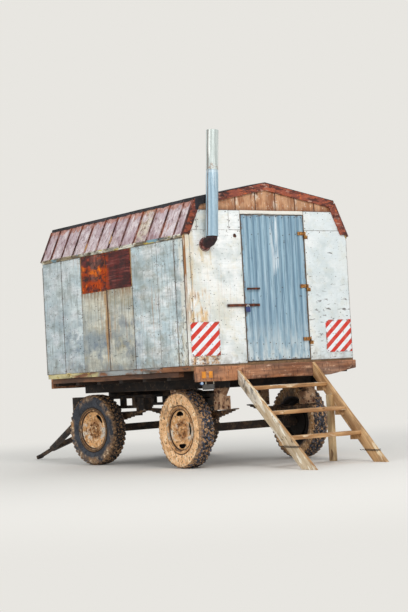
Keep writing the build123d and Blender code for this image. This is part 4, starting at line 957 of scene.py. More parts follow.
BROWN = wood("pine_rail_creosoted_brown", "8f6141", "4d2f1f", turn=ALONG_Y, dirt=0.6,
             dirt_tint="2c1d15", strong=0.8)
# Near black, partly painted shade under the floor
DARK_WOOD = wood("pine_bearer_creosoted_and_shaded_dark", "3c2b21", "211711", dirt=0.5, dirt_tint="191310")
FLOOR_WOOD = wood("spruce_floor_trodden", "9c7c58", "6e5238", turn=ALONG_Y, dirt=0.45)
RAW_ACROSS = wood("spruce_plank_fresh_sawn_across", "dcb383", "a5733f", dirt=0.55, dirt_tint="8a5c38",
                  strong=0.75, paint=(("e8d0ac", 50, 0.56),))
STAIR_TURN = (math.radians(-49), 0, math.radians(90))
RAW_SLOPE = wood("spruce_plank_fresh_sawn_sloping", "dfbb8c", "a97a48", turn=STAIR_TURN, dirt=0.5,
                 dirt_tint="7c5a3c", strong=0.75, paint=(("ead6b4", 60, 0.56),))
BLEACHED = wood("spruce_plank_bleached_by_sun", "e6d8bd", "b9976a", turn=STAIR_TURN, grey=0.2, dirt=0.35,
                dirt_tint="8d7657", paint=(("f1e9d8", 60, 0.52), ("54402e", 16, 0.64)), own=stained_top)
POST_WOOD = wood("spruce_post_fresh_sawn", "dcc49b", "b08a58", turn=UPRIGHT, dirt=0.4,
                 dirt_tint="6f583e", strong=0.7)
RAIL_IRON = rail_iron()
# Near black, partly painted shade under the floor
CHASSIS_IRON = iron("rolled_steel_rusted", "1c1918", "2d231d", "574838", 0.3)
BOGIE_IRON = iron("rolled_steel_rusted_dusty", "242120", "3b2c23", "7d654d", 0.4)
SPRING_IRON = iron("spring_steel_rusted_dusty", "3b3029", "5e4532", "967754", 0.7, 0.5)
FITTING_RUST = iron("wrought_fittings_rusted", "4c2a20", "7c4228", "2a1813", 0.6, 0.3)
HINGE_RUST = iron("hinge_steel_rusted_orange", "966030", "d09c50", "38221a", 0.9, 0.2)
NAIL_RUST = iron("wire_nails_rusted", "3d291f", "5d3e28", "46372d", 0.4, 0.2)
SOOT = iron("sheet_steel_sooty", "231a1e", "39252a", "5a3a34", 0.4, 0.4, own=red_at_wall)
# The collar's pale pink, given as its dust, is a painted highlight
COLLAR_RUST = iron("sheet_collar_rusted", "5a2922", "833f31", "b98a7e", 0.5, 0.2)
ZINC_PIPE = pipe_tin("galvanised_pipe_bluish", "a9c2d0", "7f9aac", "d9e4e8", 3.62, 0.15)
CREAM_PIPE = pipe_tin("galvanised_pipe_chalky", "c8d1ce", "a9b1ad", "e8ece8", 3.62, 0.6)
STRIPES = stripes()
AMBER = plain("acrylic_amber_moulded", "e8942a", "a5642a", 0.5, 0.25, IOR=1.49)
PADLOCK_BLUE = plain("padlock_enamel_blue", "2e3f78", "3a3538", 0.5, 0.4, size=12)
SHACKLE = plain("shackle_steel_plated", "d9dadb", "8d8078", 0.4, 0.35, size=12, metal=0.3)
LAMP_LENS = plain("lamp_lens_moulded_blue_white", "c4d6ea", "6f9ac8", 0.7, 0.25, size=14, IOR=1.49)
LAMP_CASE = plain("lamp_case_enamel_blue", "3f6ea6", "2c3f58", 0.5, 0.4, size=12)
STRAP_PALE = plain("strap_steel_galvanised", "a99d88", "6d5b48", 0.6, 0.6, size=30, metal=0.4)
BOX_DARK = plain("switch_box_painted_dark_grey", "4d4b48", "2f2a26", 0.6, 0.6, size=30)
HOLE_DARK = plain("burnt_hole_rust", "3a2016", "7d4622", 0.5, 0.9, size=14)
WIRE = plain("iron_wire_annealed", "2e2c2c", "5a3f2c", 0.4, 0.6, size=20, metal=0.5)

# Solids that keep their place: the cabin's bare boards inside, and the iron that nothing covers
for material, *solids in (
    (BARE_WOOD, "side_wall_left", "side_wall_right", "roof_slope_left", "roof_slope_right",
     "roof_top_left", "roof_top_right"),
    (FAR_WOOD, "end_wall_far", "end_wall_left", "end_wall_right"),
    (FLOOR_WOOD, "floor"),
    (CHASSIS_IRON, "cross_members", "turntable_upper"),
    (BOGIE_IRON, "turntable_lower", "axle_rear", "axle_front"),
    (SPRING_IRON, "springs_rear", "springs_front"),
):
    for solid in solids:
        NODES[solid].data.materials.clear()
        NODES[solid].data.materials.append(material)

# The steep roof leans inward by STEEP.x for every STEEP.z that it rises
STEEP = Vector((HALF - BREAK_X, 0, BREAK_Z - EAVE)).normalized()
UP = (0, 0, 1)


def under_roof(shape):
    """A sheet of an end wall cut under both sides of the steep roof."""
    for side in (-1, 1):
        facing = Vector((side * STEEP.z, 0, STEEP.x))
        cut(shape, Vector((side * HALF, 0, EAVE)) - facing * TRIM_BACK, facing, clear_outer=True)
    return shape


def side_sheets(side):
    """The sheets of a long wall, lapped upright, shorter ones under the boarded window."""
    greys, yellows, heads = [], [], []
    top, bottom = EAVE - EAVE_STRIP, FLOOR_TOP - LAP
    face = side * (HALF + 0.004)
    for number, (near, far) in enumerate(zip(SIDE_SEAMS, SIDE_SEAMS[1:])):
        spans, high = [(near, far)], top
        if near == BELOW_WINDOW_SEAMS[0]:
            spans, high = zip(BELOW_WINDOW_SEAMS, BELOW_WINDOW_SEAMS[1:]), WINDOW_FOOT + 0.01
        for a, b in spans:
            sheet = tin((side * HALF, DOOR_END + (b if side < 0 else a), bottom), (0, side, 0), UP, b - a,
                        high - bottom, seed=number * 2 + a + (40 if side > 0 else 0),
                        lift=0.002 + 0.0022 * (number % 2), depth=0.015, pitch=0.04)
            (yellows if high < top else greys).append(thick(sheet))
            for y in (DOOR_END + a + 0.018, DOOR_END + b - 0.018):
                heads += nail_line((face, y, bottom + 0.04), (face, y, high - 0.03), SIDE_NAILS_APART)
    return greys, yellows, nails(heads, (side, 0, 0))


def steep_roof(side):
    """The steep roof's sheets between their standing seams, with the folded seams themselves."""
    slope = math.hypot(HALF - BREAK_X, BREAK_Z - EAVE)
    up = Vector((-side * STEEP.x, 0, STEEP.z))
    out = Vector((side * STEEP.z, 0, STEEP.x))
    foot = Vector((side * HALF, DOOR_END, EAVE)) - up * ROOF_OVERHANG
    marks = (ROOF_ENDS[0], *ROOF_RIBS, ROOF_ENDS[1])
    sheets, seams = [], []
    for number, (near, far) in enumerate(zip(marks, marks[1:])):
        corner = foot + Vector((0, far if side < 0 else near, 0))
        sheet = tin(corner, (0, side, 0), up, far - near, slope + 0.03, seed=120 + number + 30 * side,
                    lift=0.003, depth=0.007, pitch=0.055)
        sheets.append(thick(sheet))
    long = slope - 0.010
    for number, mark in enumerate(marks):
        wide = END_SEAM_WIDE if mark in ROOF_ENDS else FOLD_WIDE
        seam = cube(laid(Vector((0, wide, 0)), up * long, out * FOLD_HIGH,
                         foot + Vector((0, mark, 0)) + up * long / 2 + out * 0.010))
        soften(seam, 0.004)
        cut_across(seam, 2, 0.06)
        for v in seam.verts:
            v.co.y += 0.0025 * noise.noise(v.co * 5 + Vector((number, 0, 0)))
        seams.append(seam)
    return clap(*sheets), clap(*seams)


def felt_cover(side):
    """Felt over the low roof, lumpy, and hanging ragged over the steep roof's top edge."""
    low_slope = Vector((BREAK_X, 0, RIDGE - BREAK_Z))
    up = Vector((-side * low_slope.x, 0, low_slope.z)).normalized()
    way = (0, side, 0)
    long = FELT_ENDS[1] - FELT_ENDS[0]
    edge = Vector((side * BREAK_X, DOOR_END + FELT_ENDS[side < 0], BREAK_Z))
    sheet = tin(edge - up * LAP, way, up, long, low_slope.length + LAP, seed=170 + side, lift=0.008,
                depth=0.012, pitch=0.07)
    steep = Vector((side * STEEP.x, 0, -STEEP.z))
    out = Vector((side * STEEP.z, 0, STEEP.x))
    corner = edge + steep * FLAP_HANG
    flap = tin(corner, way, -steep, long, FLAP_HIGH, seed=176 + side, lift=0.010, depth=0.012,
               pitch=0.03, rim_wide=LAP)
    for v in flap.verts:
        if (v.co - corner).dot(-steep) < FLAP_TORN:
            v.co += steep * 0.020 * noise.noise(Vector((0, v.co.y * 6, 3)))
            v.co += out * 0.010 * noise.noise(Vector((0, v.co.y * 5, 9)))
    return clap(thick(sheet, FELT_GAUGE), thick(flap, FELT_GAUGE))


for side, word in ((-1, "left"), (1, "right")):
    greys, yellows, heads = side_sheets(side)
    hang("side_sheets_grey_" + word, clap(*greys), GREY_TIN, "galvanised_sheet")
    hang("side_sheets_yellowed_" + word, clap(*yellows), YELLOW_TIN, "galvanised_sheet")
    hang("side_nails_" + word, heads, NAIL_RUST, "rusted_steel")
    sheets, seams = steep_roof(side)
    hang("steep_roof_sheets_" + word, sheets, ROOF_TIN, "rusted_sheet")
    hang("steep_roof_seams_" + word, seams, ROOF_FOLDS, "rusted_sheet")
    hang("roof_felt_" + word, felt_cover(side), FELT, "roofing_felt")


def window_sheets():
    """Two rusted sheets over each window, buckled between their nails."""
    low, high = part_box("window_patches")
    middle = (low.y + high.y) / 2
    sheets, rows = [], []
    for side in (-1, 1):
        face, heads = side * (HALF + 0.007), []
        for number, (a, b) in enumerate(((low.y, middle + LAP), (middle, high.y))):
            sheet = tin((side * HALF, b if side < 0 else a, low.z), (0, side, 0), UP, b - a,
                        high.z - low.z, seed=60 + number + side, lift=0.003 + 0.002 * number,
                        depth=0.011, pitch=0.035)
            sheets.append(thick(sheet, 0.002))
            for y in (a + NAIL_INSET, b - NAIL_INSET):
                heads += nail_line((face, y, low.z + 0.03), (face, y, high.z - 0.03), WINDOW_NAILS_APART)
        rows.append(nails(heads, (side, 0, 0)))
    return clap(*sheets), clap(*rows)


def end_sheets():
    """The door end's sheets on both sides of the door."""
    low, seam, top = FLOOR_TOP - 0.014, END_SEAM, BOARDS_FROM
    spans = (
        (-HALF, -HALF + 0.11, low, EAVE + 0.02), (-HALF + 0.095, JAMB_LEFT, low, seam + LAP),
        (-HALF, -1.045, seam, top), (-1.055, JAMB_LEFT - 0.17, seam, top),
        (JAMB_LEFT - 0.18, JAMB_LEFT, seam, top),
        (JAMB_RIGHT, HALF, low, seam + LAP), (JAMB_RIGHT, HALF, seam, top),
    )
    sheets, heads = [], []
    face = DOOR_END - 0.003
    for number, (a, b, foot, head) in enumerate(spans):
        sheet = tin((a, DOOR_END, foot), (1, 0, 0), UP, b - a, head - foot, seed=80 + number,
                    lift=0.0015 + 0.0013 * (number % 2), depth=0.0045)
        sheets.append(thick(under_roof(sheet)))
        for x in (a + NAIL_INSET, b - NAIL_INSET):
            top_nail = min(head, EAVE + 0.2) - 0.03
            heads += nail_line((x, face, foot + 0.04), (x, face, top_nail), END_NAILS_APART)
        if b - a > 0.2:
            level = head - NAIL_INSET
            heads += nail_line((a + 0.05, face, level), (b - 0.05, face, level), LEVEL_NAILS_APART)
    # No nail stands above the steep roof's line, which leans in 0.46 for every 1 that it rises
    inside = [h for h in heads if abs(h.x) < HALF - max(0.0, h.z - EAVE) * 0.46 - 0.03]
    return clap(*sheets), nails(inside, (0, -1, 0))


def far_sheets():
    """The blank end's sheets, upright under a level seam, and one over the gable."""
    sheets, heads = [], []
    wide = HALF / 2
    for number in range(4):
        start = HALF - number * wide
        sheet = tin((start, FAR_END, FLOOR_TOP - LAP), (-1, 0, 0), UP, wide + LAP,
                    END_SEAM - FLOOR_TOP + 2 * LAP, seed=100 + number,
                    lift=0.0015 + 0.0018 * (number % 2))
        sheets.append(thick(under_roof(sheet)))
        x, face = start - 0.03, FAR_END + 0.003
        heads += nail_line((x, face, FLOOR_TOP + 0.05), (x, face, EAVE - 0.05), END_NAILS_APART)
    gable = tin((HALF, FAR_END, END_SEAM), (-1, 0, 0), UP, 2 * HALF, RIDGE - END_SEAM, seed=110, lift=0.003)
    under_roof(gable)
    low_slope = Vector((RIDGE - BREAK_Z, 0, BREAK_X)).normalized()
    for side in (-1, 1):
        facing = Vector((side * low_slope.x, 0, low_slope.z))
        cut(gable, Vector((0, 0, RIDGE)) - facing * TRIM_BACK, facing, clear_outer=True)
    return clap(*sheets, thick(gable)), nails(heads, (0, 1, 0))


def warning_plates():
    """Two thin plates nailed at their corners, a little sprung."""
    parts, heads = [], []
    for left, right, foot, head in WARNING_PLATES:
        plate = tin((left, DOOR_END, foot), (1, 0, 0), UP, right - left, head - foot, seed=left,
                    lift=0.0095, depth=0.004)
        parts.append(thick(plate, 0.003))
        heads += [(x, DOOR_END - 0.0105, z)
                  for x in (left + NAIL_INSET, right - NAIL_INSET)
                  for z in (foot + NAIL_INSET, head - NAIL_INSET)]
    return clap(*parts), nails(heads, (0, -1, 0))


# Sheets and the nails that hold them: what models them, their name, finish, slot and what they replace
for made, name, finish_of, slot, instead in (
    (window_sheets, "window", RUSTED, "rusted_sheet", ["window_patches"]),
    (end_sheets, "door_end", WHITE_TIN, "white_painted_sheet", ()),
    (far_sheets, "far_end", FAR_TIN, "white_painted_sheet", ()),
):
    sheets, heads = made()
    hang(name + "_sheets", sheets, finish_of, slot, instead=instead)
    hang(name + "_nails", heads, NAIL_RUST, "rusted_steel")
plates, heads = warning_plates()
hang("warning_plates", plates, STRIPES, "striped_enamel", instead=["warning_boards"])
hang("warning_nails", heads, NAIL_RUST, "rusted_steel")


def burnt_hole():
    """A rusty hole in the tin by the door, with a curled rim."""
    shape = bmesh.new()
    place = stood((HOLE[0], DOOR_END - 0.0095, HOLE[1]), math.pi / 2, "X")
    bmesh.ops.create_circle(shape, cap_ends=True, radius=0.024, segments=14, matrix=place)
    for v in shape.verts:
        v.co += (v.co - Vector((HOLE[0], v.co.y, HOLE[1]))) * 0.6 * noise.noise(v.co * 40)
    bmesh.ops.inset_region(shape, faces=shape.faces[:], thickness=0.007, depth=-0.003)
    return thick(shape, 0.002)


def door_wave(across):
    """How far the corrugated sheet stands back from its crests."""
    turns = across * CORRUGATIONS / DOOR_WIDE + 0.5
    return CORRUGATION_DEPTH * (0.5 - 0.5 * math.cos(2 * math.pi * turns))


def door_pieces():
    """The corrugated sheet on its planked leaf."""
    sheet = tin((DOOR_LOW.x, DOOR_LOW.y + 0.001, DOOR_LOW.z), (1, 0, 0), UP, DOOR_WIDE, DOOR_TALL,
                seed=200, lift=0.0, depth=0.004, pitch=0.07, wave=door_wave)
    planks = []
    wide = DOOR_WIDE / DOOR_PLANKS
    for number in range(DOOR_PLANKS):
        left = DOOR_LOW.x + wide * number
        planks.append(board((left + 0.001, DOOR_LOW.y + CORRUGATION_DEPTH + 0.006, DOOR_LOW.z + 0.004),
                            (left + wide - 0.001, DOOR_HIGH.y - 0.012, DOOR_HIGH.z - 0.004), 0.002))
    for z in DOOR_LEDGES:
        planks.append(board((DOOR_LOW.x + 0.06, DOOR_HIGH.y - 0.013, z),
                            (DOOR_HIGH.x - 0.06, DOOR_HIGH.y, z + 0.11)))
    face = DOOR_LOW.y - 0.003
    heads = []
    for z in DOOR_NAIL_ROWS:
        for number in range(CORRUGATIONS):
            if luck.random() < 0.85:
                x = DOOR_LOW.x + (number + 0.5) * DOOR_WIDE / CORRUGATIONS + luck.uniform(-0.006, 0.006)
                heads.append((x, face, z + luck.uniform(-0.012, 0.012)))
    heads += [(luck.uniform(-0.3, 0.5), face, luck.uniform(1.8, 2.8)) for stray in range(STRAY_NAILS)]
    return thick(sheet), clap(*planks), nails(heads, (0, -1, 0))


def lock():
    """A padlock: a rounded case and a bent shackle over the bar."""
    low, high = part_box("padlock")
    case = board((low.x - 0.004, low.y, low.z), (high.x + 0.004, high.y, high.z - 0.026), 0.006)
    shackle = bmesh.new()
    middle = Vector(((low.x + high.x) / 2, low.y + 0.010, high.z - 0.022))
    place = Matrix.Translation(middle + Vector((0.018, 0, 0)))
    bmesh.ops.create_circle(shackle, radius=0.005, segments=10, matrix=place)
    bmesh.ops.spin(shackle, geom=shackle.verts[:] + shackle.edges[:], cent=middle, axis=(0, -1, 0),
                   angle=math.pi, steps=12)
    legs = bmesh.ops.extrude_edge_only(shackle, edges=[e for e in shackle.edges if e.is_boundary])["geom"]
    for v in legs:
        if isinstance(v, bmesh.types.BMVert):
            v.co.z -= 0.008
    bmesh.ops.holes_fill(shackle, edges=[e for e in shackle.edges if e.is_boundary])
    bmesh.ops.recalc_face_normals(shackle, faces=shackle.faces)
    return case, shackle


sheet, planks, heads = door_pieces()
case, shackle = lock()
hang("burnt_hole", burnt_hole(), HOLE_DARK, "rusted_steel")
hang("door_sheet", sheet, DOOR_TIN, "blue_corrugated_sheet", "door", ["door_panel"])
hang("door_planks", planks, POST_WOOD, "bare_timber", "door")
hang("door_nails", heads, NAIL_RUST, "rusted_steel", "door")
hang("padlock_case", case, PADLOCK_BLUE, "blue_enamel", "door", ["padlock"])
hang("padlock_shackle", shackle, SHACKLE, "rusted_steel", "door")


def pipe_run(node, seed, collar):
    """A length of rolled pipe with its locked seam, a swaged collar and a few flats."""
    low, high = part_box(node)
    lift = PIPE_RADIUS * math.sin(PIPE_LEAN)
    long = (high.z - low.z - 2 * lift) / math.cos(PIPE_LEAN)
    shape = bmesh.new()
    bmesh.ops.create_cone(shape, cap_ends=False, segments=PIPE_SIDES, radius1=PIPE_RADIUS,
                          radius2=PIPE_RADIUS, depth=long, matrix=Matrix.Translation((0, 0, long / 2)))
    cut_across(shape, 2, 0.05)
    for v in shape.verts:
        radial = Vector((v.co.x, v.co.y, 0)).normalized()
        v.co += radial * (0.0025 * noise.noise(v.co * 4 + Vector((seed, 0, 0))))
        if collar and v.co.z > long - 0.03:
            v.co -= radial * 0.002
        if 0.05 < v.co.z < 0.07:
            v.co += radial * 0.0025
    thick(shape, PIPE_GAUGE)
    seam = board((-0.007, -PIPE_RADIUS - 0.0025, 0.004), (0.007, -PIPE_RADIUS + 0.002, long - 0.004),
                 0.0015)
    moved(seam, Matrix.Rotation(math.radians(-78), 4, "Z"))
    whole = clap(keep(shape, "seam", lambda spot: 0.0), keep(seam, "seam", lambda spot: 1.0))
    foot = (low.x + PIPE_RADIUS * math.cos(PIPE_LEAN), (low.y + high.y) / 2, low.z + lift)
    return moved(whole, stood(foot, PIPE_LEAN, "Y"))


# The lower pipe's foot, and the place below it where its axis meets the elbow's
LEANING = Vector((math.sin(PIPE_LEAN), 0, math.cos(PIPE_LEAN)))
PIPE_FOOT = Vector((PIPE_LOW.x + PIPE_RADIUS * LEANING.z, (PIPE_LOW.y + PIPE_JOINT.y) / 2,
                    PIPE_LOW.z + PIPE_RADIUS * LEANING.x))
ELBOW_CORNER = PIPE_FOOT - LEANING * ELBOW_BEND


def elbow():
    """The sheet elbow: three straight lengths of pipe, mitred and crimped where they meet."""
    mitre = ELBOW_BEND * (1 - math.tan(math.pi / 8))
    turns = [PIPE_FOOT, ELBOW_CORNER + LEANING * mitre, ELBOW_CORNER + Vector((0, mitre, 0)),
             Vector((ELBOW_CORNER.x, DOOR_END, ELBOW_CORNER.z))]
    ways = [(b - a).normalized() for a, b in zip(turns, turns[1:])]
    shape = bmesh.new()
    bmesh.ops.create_circle(shape, radius=PIPE_RADIUS - 0.006, segments=PIPE_SIDES,
                            matrix=stood(PIPE_FOOT, PIPE_LEAN, "Y"))
    ring = shape.edges[:]
    crimp = ((0.010, 1.0), (0.005, 1.035), (0.0, 1.0))
    for number, way in enumerate(ways):
        last = number == len(ways) - 1
        facing = way if last else (way + ways[number + 1]).normalized()
        for back, grow in crimp[2:] if last else crimp:
            made = bmesh.ops.extrude_edge_only(shape, edges=ring)["geom"]
            ring = [g for g in made if isinstance(g, bmesh.types.BMEdge) and g.is_boundary]
            spots = [g for g in made if isinstance(g, bmesh.types.BMVert)]
            goal = turns[number + 1] - facing * back
            for v in spots:
                v.co += way * ((goal - v.co).dot(facing) / way.dot(facing))
            middle = sum((v.co for v in spots), Vector()) / len(spots)
            for v in spots:
                v.co = middle + (v.co - middle) * grow
    # The heel is a nearly flat slanting gusset, from the pipe's front down to the wall
    start = PIPE_FOOT - Vector((0, PIPE_RADIUS, 0))
    slant = Vector((start.x, DOOR_END, ELBOW_CORNER.z - PIPE_RADIUS)) - start
    out = slant.cross(Vector((1, 0, 0))).normalized()
    for v in shape.verts:
        beyond = (v.co - start).dot(out)
        if beyond > 0:
            v.co -= out * (beyond * 0.7)
        v.co += noise.noise_vector(v.co * 9) * 0.0015
    bmesh.ops.recalc_face_normals(shape, faces=shape.faces)
    return thick(shape, PIPE_GAUGE)


def wall_collar():
    """The rusty ring of sheet round the elbow, nailed over the hole in the wall."""
    line = [(-0.0005, 0.0755), (-0.006, 0.0755), (-0.008, 0.079), (-0.0065, 0.085), (-0.003, 0.0875),
            (-0.0005, 0.0875)]
    centre = (ELBOW_CORNER.x, DOOR_END, ELBOW_CORNER.z)
    return moved(turned(line, 36, closed=True), stood(centre, math.pi / 2, "Z"))


for word, seed, collar, tin_of in (("lower", 3, True, ZINC_PIPE), ("upper", 8, False, CREAM_PIPE)):
    node = "stovepipe_" + word
    hang("pipe_" + word, pipe_run(node, seed, collar), tin_of, "galvanised_pipe", instead=[node])
hang("elbow", elbow(), SOOT, "sooty_iron", instead=["stove_elbow"], crease=25)
hang("elbow_collar", wall_collar(), COLLAR_RUST, "sooty_iron")


# Where a piece has several finishes, which of them a face takes from its middle
PICKS = {
    "barge_trim": lambda at: 0 if at.y >= 0 or at.x >= -0.55 else 2 if -BREAK_X < at.x < -0.76 else 1,
    "box_on_straps": lambda at: int(at.z < 1.036),
    "stair_planks": lambda at: int(at.x < -0.590),
}
# Solids that only wear and bend: the piece, its solid, its finishes, its slot and body, then how far its
# edges are worn and its faces bent, the steps at which it is cut along X, Y and Z, and how quickly it bends
for name, node, finishes, slot, body, *wear in (
    ("eave_battens", "eave_strips", EAVE_BOARD, "old_painted_timber", "wagon",
     0.003, 0.004, (0, 0.12, 0), 6),
    ("gable_panels", "gable_boards", VARNISHED, "varnished_timber", "wagon", 0.003, 0.001),
    ("door_head", "door_header", HEADER, "old_painted_timber", "wagon", 0.004, 0.003, (0.1, 0, 0)),
    ("barge_trim", "bargeboards", (RED_TRIM, DARK_TRIM, FELT), "red_oxide_sheet", "wagon",
     0.004, 0.004, (0.06, 0, 0.06), 7),
    ("door_hinge_straps", "hinge_straps", HINGE_RUST, "rusted_steel", "door", 0.0015),
    ("wall_hinge_plates", "hinge_plates", HINGE_RUST, "rusted_steel", "wagon", 0.0015),
    ("door_pull", "door_handle", FITTING_RUST, "rusted_steel", "door", 0.003, 0.002, (0.03, 0, 0), 14),
    ("hasp", "hasp_bar", FITTING_RUST, "rusted_steel", "door", 0.002, 0.002, (0.03, 0, 0), 9),
    ("side_board_strips", "side_boards", PAINTED_BOARD, "old_painted_timber", "wagon",
     0.003, 0.004, (0, 0.2, 0), 3),
    ("side_timbers", "side_rails", BROWN, "brown_timber", "wagon", 0.006, 0.006, (0, 0.2, 0), 3),
    ("cross_bearers", "bearers", DARK_WOOD, "brown_timber", "wagon", 0.005, 0.004, (0.3, 0, 0)),
    ("door_end_beam", "end_beam_door", BEAM, "brown_timber", "wagon", 0.008, 0.008, (0.08, 0, 0.06), 4),
    ("far_end_beam", "end_beam_far", BEAM, "brown_timber", "wagon", 0.008, 0.006, (0.08, 0, 0), 4),
    ("long_channels", "chassis_rails", RAIL_IRON, "dark_steel", "wagon", 0.003),
    ("bogie_frame_sides", "bogie_side_frames", BOGIE_IRON, "dark_steel", "bogie", 0.003),
    ("bogie_beams", "bogie_cross_members", BOGIE_IRON, "dark_steel", "bogie", 0.003),
    ("towing_frame", "drawbar", BOGIE_IRON, "dark_steel", "drawbar", 0.004),
    ("amber_reflectors", "reflectors", AMBER, "amber_plastic", "wagon", 0.003),
    ("box_on_straps", "lamp_bracket", (STRAP_PALE, BOX_DARK), "rusted_steel", "wagon",
     0.002, 0.0, (0, 0, 0.02)),
    ("stair_planks", "step_stringers", (RAW_SLOPE, BLEACHED), "raw_timber", "wagon",
     0.004, 0.004, (0, 0.12, 0), 4),
    ("stair_treads", "step_treads", RAW_ACROSS, "raw_timber", "wagon", 0.005, 0.004, (0.12, 0, 0), 4),
    ("stair_prop", "step_post", POST_WOOD, "raw_timber", "wagon", 0.004, 0.004, (0, 0, 0.15), 4),
):
    hang(name, worn(node, *wear), finishes, slot, body, [node], pick=PICKS.get(name))


def hanger_bolts():
    """Hexagon bolt heads on the rear spring hangers, four on each outer face and two on each front."""
    whole = []
    axle = sum(c.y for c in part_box("axle_rear")) / 2
    for side in (-1, 1):
        for hanger in (axle - HANGER_REACH, axle + HANGER_REACH):
            spots = [((side * 0.7365, hanger + a, z), (side, 0, 0))
                     for a in (-0.045, 0.030) for z in (0.80, 0.93)]
            spots += [((side * 0.66 + a, hanger - 0.0765, 0.745), (0, -1, 0)) for a in (-0.04, 0.04)]
            for spot, out in spots:
                head = bmesh.new()
                bmesh.ops.create_cone(head, cap_ends=True, segments=6, radius1=0.016, radius2=0.014,
                                      depth=0.012, matrix=Matrix.Translation(spot) @ looking(out))
                whole.append(head)
    return clap(*whole)


def marker_lamp():
    """A small round lamp: a pressed case, a bezel and a domed lens, on a bent lug."""
    low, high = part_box("side_lamp")
    radius = (high.x - low.x) / 2
    middle = (low.x + radius, high.y, low.z + radius)
    place = stood(middle, -math.pi / 2, "Z")
    # Outlines as places along the axis and shares of the lamp's radius
    case = [(0.0, 0.0), (0.004, 0.6), (0.010, 0.92), (0.028, 0.96), (0.030, 1.0), (0.034, 1.0),
            (0.034, 0.84), (0.031, 0.82), (0.031, 0.0)]
    lens = [(0.0315, 0.0), (0.0315, 0.82), (0.035, 0.78), (0.038, 0.5), (0.039, 0.0)]
    case, lens = (moved(turned([(x, r * radius) for x, r in line], 24), place) for line in (case, lens))
    lug = board((0.012, -0.008, 0.0), (0.015, 0.008, high.z - middle[2]), 0.001)
    return clap(case, moved(lug, place)), lens


case, lens = marker_lamp()
hang("hanger_bolts", hanger_bolts(), FITTING_RUST, "dark_steel")
hang("marker_lamp_case", case, LAMP_CASE, "dark_steel", instead=["side_lamp"])
hang("marker_lamp_lens", lens, LAMP_LENS, "lamp_lens")


def wire_loop(name, x, front, back, height):
    """Two level turns of iron wire round a sloping plank, with a twisted end."""
    line = bpy.data.curves.new(name, "CURVE")
    line.dimensions = "3D"
    line.bevel_depth = WIRE_RADIUS
    line.bevel_resolution = 2
    line.materials.append(WIRE)
    left, right = x - WIRE_HALF, x + WIRE_HALF
    loop = [(left, front), (right, front), (right, back), (left, back)]
    end = [(left, back), (x - 0.030, back + 0.03), (x - 0.026, back + 0.06), (x - 0.034, back + 0.08)]
    for corners, level, wave in ((loop, -0.007, 0.005), (loop, 0.006, 0.005), (end, 0.0, 0.007)):
        run = line.splines.new("POLY")
        run.points.add(len(corners) - 1)
        for number, (point, (across, reach)) in enumerate(zip(run.points, corners)):
            point.co = (across, DOOR_END + reach, height + level + wave * (number % 2), 1)
        run.use_cyclic_u = corners is loop
    put(name, line, "rusted_steel")


wire_loop("wire_tie_left", -0.580, -1.181, -0.923, 0.260)
wire_loop("wire_tie_right", 0.580, -1.226, -0.989, 0.140)


def tyre(hub, turn, mud):
    """A farm tyre: moulded carcass, staggered shoulder lugs, two rows of centre blocks, and clay."""
    side = [(0.070, BEAD), (0.084, 0.272), (0.086, 0.300), (0.088, 0.309), (0.104, 0.338),
            (TYRE_HALF - 0.001, 0.375), (TYRE_HALF, 0.405), (0.115, 0.430), (0.109, 0.448), (0.098, 0.460),
            (0.060, 0.4675), (0.0, CARCASS_RADIUS)]
    carcass = turned(side + [(-s, r) for s, r in reversed(side[:-1])], 84, closed=True)
    for v in carcass.verts:
        if v.co.x < -0.05 and off_axle(v.co) > 0.44:
            filled = mud * (0.009 + 0.006 * noise.noise(v.co * 12 + hub))
            v.co += Vector((0, v.co.y, v.co.z)).normalized() * filled
    lugs = []
    pitch = 2 * math.pi / LUGS
    for way in (-1, 1):
        for across, long, share, slant, start in BLOCKS:
            place = stood((way * across, 0, LUG_MIDDLE), way * slant, "Z")
            lug = cube(place @ Matrix.Diagonal((long, pitch * TREAD_RADIUS * share, 0.020, 1)))
            for v in lug.verts:
                if way * v.co.x > 0.10:
                    v.co.z -= 0.010 if v.co.z > LUG_MIDDLE else 0.022
            soften(lug, 0.004, segments=1)
            moved(lug, Matrix.Rotation(pitch * (start + (0.5 if way > 0 else 0)), 4, "X"))
            lugs.append(all_round(lug, LUGS))
    whole = clap(carcass, *lugs)
    for v in whole.verts:
        radial = Vector((0, v.co.y, v.co.z)).normalized()
        radius = off_axle(v.co)
        lump = noise.noise(v.co * 9 + hub) + 0.5 * noise.noise(v.co * 24 + hub)
        v.co += radial * (0.003 * lump - 0.001)
        if 0.33 < radius < 0.44:
            v.co.x += math.copysign(0.003 * lump, v.co.x) - math.copysign(0.002, v.co.x)
        over = off_axle(v.co) - TREAD_RADIUS
        if over > 0:
            v.co -= radial * over
    keep(whole, "reach", off_axle)
    keep(whole, "outward", lambda spot: -spot.x)
    return moved(whole, turn)


def from_vent(point, angle):
    """How far a point is from a vent's middle, along and across it, where 1 is the vent's edge."""
    swing = (math.atan2(point.z, -point.y) - angle + math.pi) % (2 * math.pi) - math.pi
    return swing * VENT_CIRCLE / VENT_HALF_LONG, (off_axle(point) - VENT_CIRCLE) / VENT_HALF_WIDE


